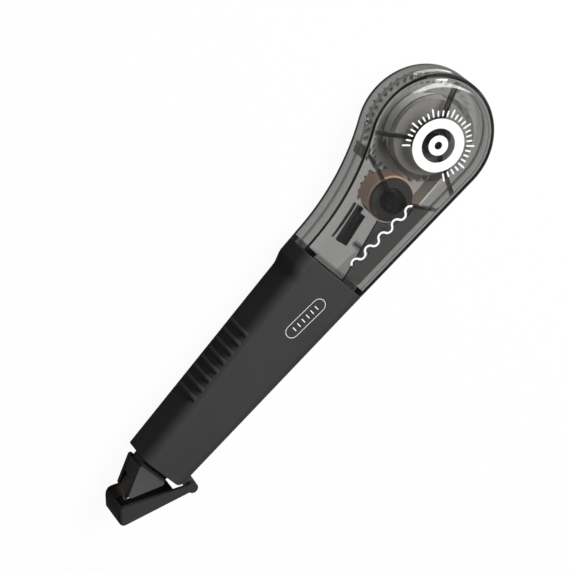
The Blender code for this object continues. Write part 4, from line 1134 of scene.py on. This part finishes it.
# %% Finishes of the kept pieces
kept = {"cap_hinge_pin": steel, "clutch_ring": rubber,
        "tape_run_out": white_tape, "film_run_back": film, "lower_guide_roller": clear_roller,
        "upper_guide_roller": clear_roller, "lower_guide_pin": steel, "upper_guide_pin": steel}
for node, finish in kept.items():
    mesh = frame["nodes"][node].data
    mesh.materials.clear()
    mesh.materials.append(finish)
print("kept pieces:", len(kept))

# %% [markdown]
# ## White prints
# The front carries white ink: a round sign over the supply reel, a ring of scale marks and a wave
# on the neck, and a rounded frame on the grip. They are plain marks without words. Ink is a film
# of a few hundredths of a millimetre. It could be a pattern in the material, but then clear plastic
# and ink would need one shader, so each print is a very thin closed mesh sunk a hair into the
# surface.

# %% Sign over the supply reel
INK = 0.03 * MM
SINK = 0.01 * MM
INK_LOW = FRONT - SINK
INK_HIGH = FRONT + INK
INK_EDGE = 0.005 * MM
SIGN_CENTRE = SUPPLY + Vector((-0.33, -1.16, 0)) * MM
SIGN_RING = (4.4 * MM, 6.9 * MM)
SIGN_EYE = (1.0 * MM, 2.6 * MM)


def print_on(obj):
    """Ink rides on the casing."""
    settle(obj, "pen_body", "white_tape", white_ink)


print_on(ring("printed_sign_ring", SIGN_CENTRE, *SIGN_RING, INK_LOW, INK_HIGH, INK_EDGE))
print_on(ring("printed_sign_eye", SIGN_CENTRE, *SIGN_EYE, INK_LOW, INK_HIGH, INK_EDGE))

# %% Scale marks
MARKS = 29
MARK_START = -126               # degrees
MARK_STEP = 9
MARK_INNER = 7.7 * MM
MARK_LONG = 9.5 * MM
MARK_SHORT = 8.8 * MM
MARK_HALF = 0.22 * MM


def join(name, pieces):
    """Several meshes as one piece."""
    bpy.ops.object.select_all(action="DESELECT")
    for obj in pieces:
        obj.select_set(True)
    bpy.context.view_layer.objects.active = pieces[0]
    bpy.ops.object.join()
    pieces[0].name = name
    return done(pieces[0])


marks = []
for index in range(MARKS):
    angle = MARK_START + MARK_STEP * index
    outer = MARK_SHORT if index % 4 else MARK_LONG
    mark = bar("mark", polar(SIGN_CENTRE, MARK_INNER, angle, 0), polar(SIGN_CENTRE, outer, angle, 0),
               MARK_HALF, INK_LOW, INK_HIGH)
    marks.append(done(mark))
print_on(join("printed_scale", marks))

# %% [markdown]
# The wave and the frame are lines of even width. Each is drawn as a wire of points with the same
# spins and extrusions as an outline, turned into a curve with a round bevel, which gives the
# width, and then back into a mesh that is pressed flat.

# %% Wave on the neck
WAVE_START = Vector((JOINT_X + 4.6 * MM, -4.6 * MM, FRONT))
WAVE_LEAN = math.radians(-6)
WAVE_STEP = 2.3 * MM
WAVE_SWING = math.radians(140)
WAVE_WIDTH = 0.55 * MM
HALF_WAVES = 9


def inked_line(name, width):
    """Flat stroke of ink along the wire that was just drawn."""
    obj = bpy.context.object
    bpy.ops.object.mode_set(mode="OBJECT")
    bpy.ops.object.convert(target="CURVE")
    obj.data.bevel_depth = width / 2
    obj.data.bevel_resolution = 3
    obj.data.use_fill_caps = True
    bpy.ops.object.convert(target="MESH")
    bpy.ops.object.mode_set(mode="EDIT")
    merge_points()
    face_outwards()
    flat = (INK + SINK) / width
    bpy.ops.transform.resize(value=(1, 1, flat), center_override=(0, 0, FRONT))
    obj.name = name
    return done(obj)


along = Vector((math.cos(WAVE_LEAN), math.sin(WAVE_LEAN), 0))
across = Vector((-along.y, along.x, 0))
begin("wave", WAVE_START)
here = WAVE_START.copy()
rise = WAVE_STEP / 2 / math.tan(WAVE_SWING / 2)
for step in range(HALF_WAVES):
    side = 1 if step % 2 else -1
    arc_round(here + along * WAVE_STEP / 2 + across * side * rise, side * WAVE_SWING, steps=14)
    here += along * WAVE_STEP
print_on(inked_line("printed_wave", WAVE_WIDTH))

# %% Frame with dashes on the grip
FRAME_CENTRE = Vector((JOINT_X - 12.6 * MM, -4.4 * MM, FRONT))
FRAME_LENGTH = 9.0 * MM
FRAME_RADIUS = 1.75 * MM
FRAME_WIDTH = 0.15 * MM
DASHES = 6
DASH_PITCH = 1.5 * MM
DASH_REACH = 0.55 * MM
DASH_HALF = 0.13 * MM
first = FRAME_CENTRE - along * FRAME_LENGTH / 2
last = FRAME_CENTRE + along * FRAME_LENGTH / 2
begin("frame_line", first + across * FRAME_RADIUS)
arc_round(first, math.pi, BAR_STEPS)
line_by(last - first)
arc_round(last, math.pi, BAR_STEPS)
line_by(first - last)
merge_points()
print_on(inked_line("printed_frame", FRAME_WIDTH))
dashes = []
for index in range(DASHES):
    middle = FRAME_CENTRE + along * (index - (DASHES - 1) / 2) * DASH_PITCH
    dash = bar("dash", middle - across * DASH_REACH, middle + across * DASH_REACH, DASH_HALF,
               INK_LOW, INK_HIGH)
    dashes.append(done(dash))
print_on(join("printed_dashes", dashes))

# %% [markdown]
# ## Floor, light and camera
# The pen lies on its back on a plain white floor. A white picture could be made with much light,
# but that would bleach the pen. Instead Light Path tells the kinds of rays apart: to the camera
# the floor and the surroundings are white, through clear plastic the floor is just as white and
# the surroundings about half as bright, and in the gloss of the black pieces both are faint. For
# light that bounces off it the floor is dark paper, as if black cards stood round the pen, so the
# sides of the grip stay black. The floor still takes the pen's shadow.

# %% White surroundings
WORLD_FILL = 0.04
WORLD_IN_GLOSS = 0.10
WORLD_IN_GLASS = 0.45
WHITE = (1, 1, 1, 1)


def seen_directly(tree, in_gloss, in_glass):
    """1 for rays from the camera; reflections and views through clear plastic count with a share."""
    path = add_node(tree, "LightPath", {})
    total = path.outputs["Is Camera Ray"]
    for kind, share in (("Is Glossy Ray", in_gloss), ("Is Transmission Ray", in_glass)):
        part = add_node(tree, "Math", {0: path.outputs[kind], 1: share}, operation="MULTIPLY")
        total = add_node(tree, "Math", {0: total, 1: part.outputs[0]}, operation="MAXIMUM").outputs[0]
    return total


world = bpy.data.worlds.new("studio")
bpy.context.scene.world = world
world.use_nodes = True
sky = world.node_tree
shown = add_node(sky, "MapRange", {"Value": seen_directly(sky, WORLD_IN_GLOSS, WORLD_IN_GLASS),
                                   "To Min": WORLD_FILL, "To Max": 1.0})
feed(sky, sky.nodes["Background"], {"Strength": shown.outputs["Result"], "Color": WHITE})
print("surroundings light the pen at", WORLD_FILL)

# %% Floor
FLOOR_SIZE = 0.5
FLOOR_DROP = 0.02 * MM
FLOOR_GLOW = 0.95               # the rest shows the shadow
FLOOR_IN_GLOSS = 0.1
FLOOR_IN_GLASS = 1.0
FLOOR_SHOWN = grey(0.85)
FLOOR_BOUNCE = grey(0.12)
bpy.ops.object.select_all(action="DESELECT")
bpy.ops.mesh.primitive_plane_add(size=FLOOR_SIZE, location=(0, 0, -FLOOR_DROP))
floor = bpy.context.object
floor.name = "studio_floor"
paper, tree = new_material("white_paper")
camera_ray = add_node(tree, "LightPath", {}).outputs["Is Camera Ray"]
bounce = add_node(tree, "Mix", {"Factor": camera_ray, "A": (*FLOOR_BOUNCE, 1), "B": (*FLOOR_SHOWN, 1)},
                  data_type="RGBA")
sheet = tree.nodes["Principled BSDF"]
feed(tree, sheet, {"Base Color": bounce.outputs["Result"], "Roughness": 0.9, "Specular IOR Level": 0.0})
share = add_node(tree, "Math", {0: seen_directly(tree, FLOOR_IN_GLOSS, FLOOR_IN_GLASS), 1: FLOOR_GLOW},
                 operation="MULTIPLY")
glow = add_node(tree, "Emission", {})
either = add_node(tree, "MixShader", {"Fac": share.outputs[0], 1: sheet.outputs[0], 2: glow.outputs[0]})
feed(tree, tree.nodes["Material Output"], {"Surface": either.outputs[0]})
floor.data.materials.append(paper)
print("floor under the pen at", floor.location.z)

# %% [markdown]
# One large soft lamp stands in front and to one side, as in a product studio. On a face that looks
# straight up, a colour renders about a tenth brighter than it is written, and the white ink comes
# out as pure white. A small weak lamp grazes the finger ribs, so that each of them has a lit side
# and a dark one.

# %% Lamps
def lamp(name, place, size, power):
    """Square soft lamp that points at the pen."""
    data = bpy.data.lights.new(name, "AREA")
    data.size = size
    data.energy = power
    obj = bpy.data.objects.new(name, data)
    bpy.context.scene.collection.objects.link(obj)
    obj.location = place
    obj.rotation_euler = (-Vector(place)).to_track_quat("-Z", "Y").to_euler()
    print("lamp", name, "of", power, "W")


lamp("key", (0.82, -0.22, 1.36), size=1.0, power=31)
lamp("rib_light", (1.12, 0.24, 0.37), size=0.3, power=6.5)

# %% [markdown]
# The photograph looks down on the pen at about sixty degrees through a long lens, with the camera
# turned so that the pen runs across the frame from corner to corner. The camera could be placed
# by eye, but angles round a point that it looks at are easier to correct one by one.

# %% Camera
LOOK_AT = Vector((JOINT_X - 9.788 * MM, 1.702 * MM, MIDDLE))
DISTANCE = 787.8 * MM
AZIMUTH = math.radians(84.519)
ELEVATION = math.radians(59.806)
ROLL = math.radians(135.23)
flat_reach = math.cos(ELEVATION)
back = Vector((flat_reach * math.cos(AZIMUTH), flat_reach * math.sin(AZIMUTH), math.sin(ELEVATION)))
level = Vector((0, 0, 1)).cross(back).normalized()
right = Matrix.Rotation(ROLL, 3, back) @ level
pose = Matrix((right, back.cross(right), back)).transposed().to_4x4()
pose.translation = LOOK_AT + back * DISTANCE
lens = bpy.data.cameras.new("photo_camera")
lens.sensor_width = 36
lens.lens = 201.55
lens.clip_start = 0.01
camera = bpy.data.objects.new("photo_camera", lens)
bpy.context.scene.collection.objects.link(camera)
camera.matrix_world = pose
bpy.context.scene.camera = camera
bpy.context.scene.view_settings.view_transform = "Standard"
print("camera at", [round(value, 3) for value in pose.translation])
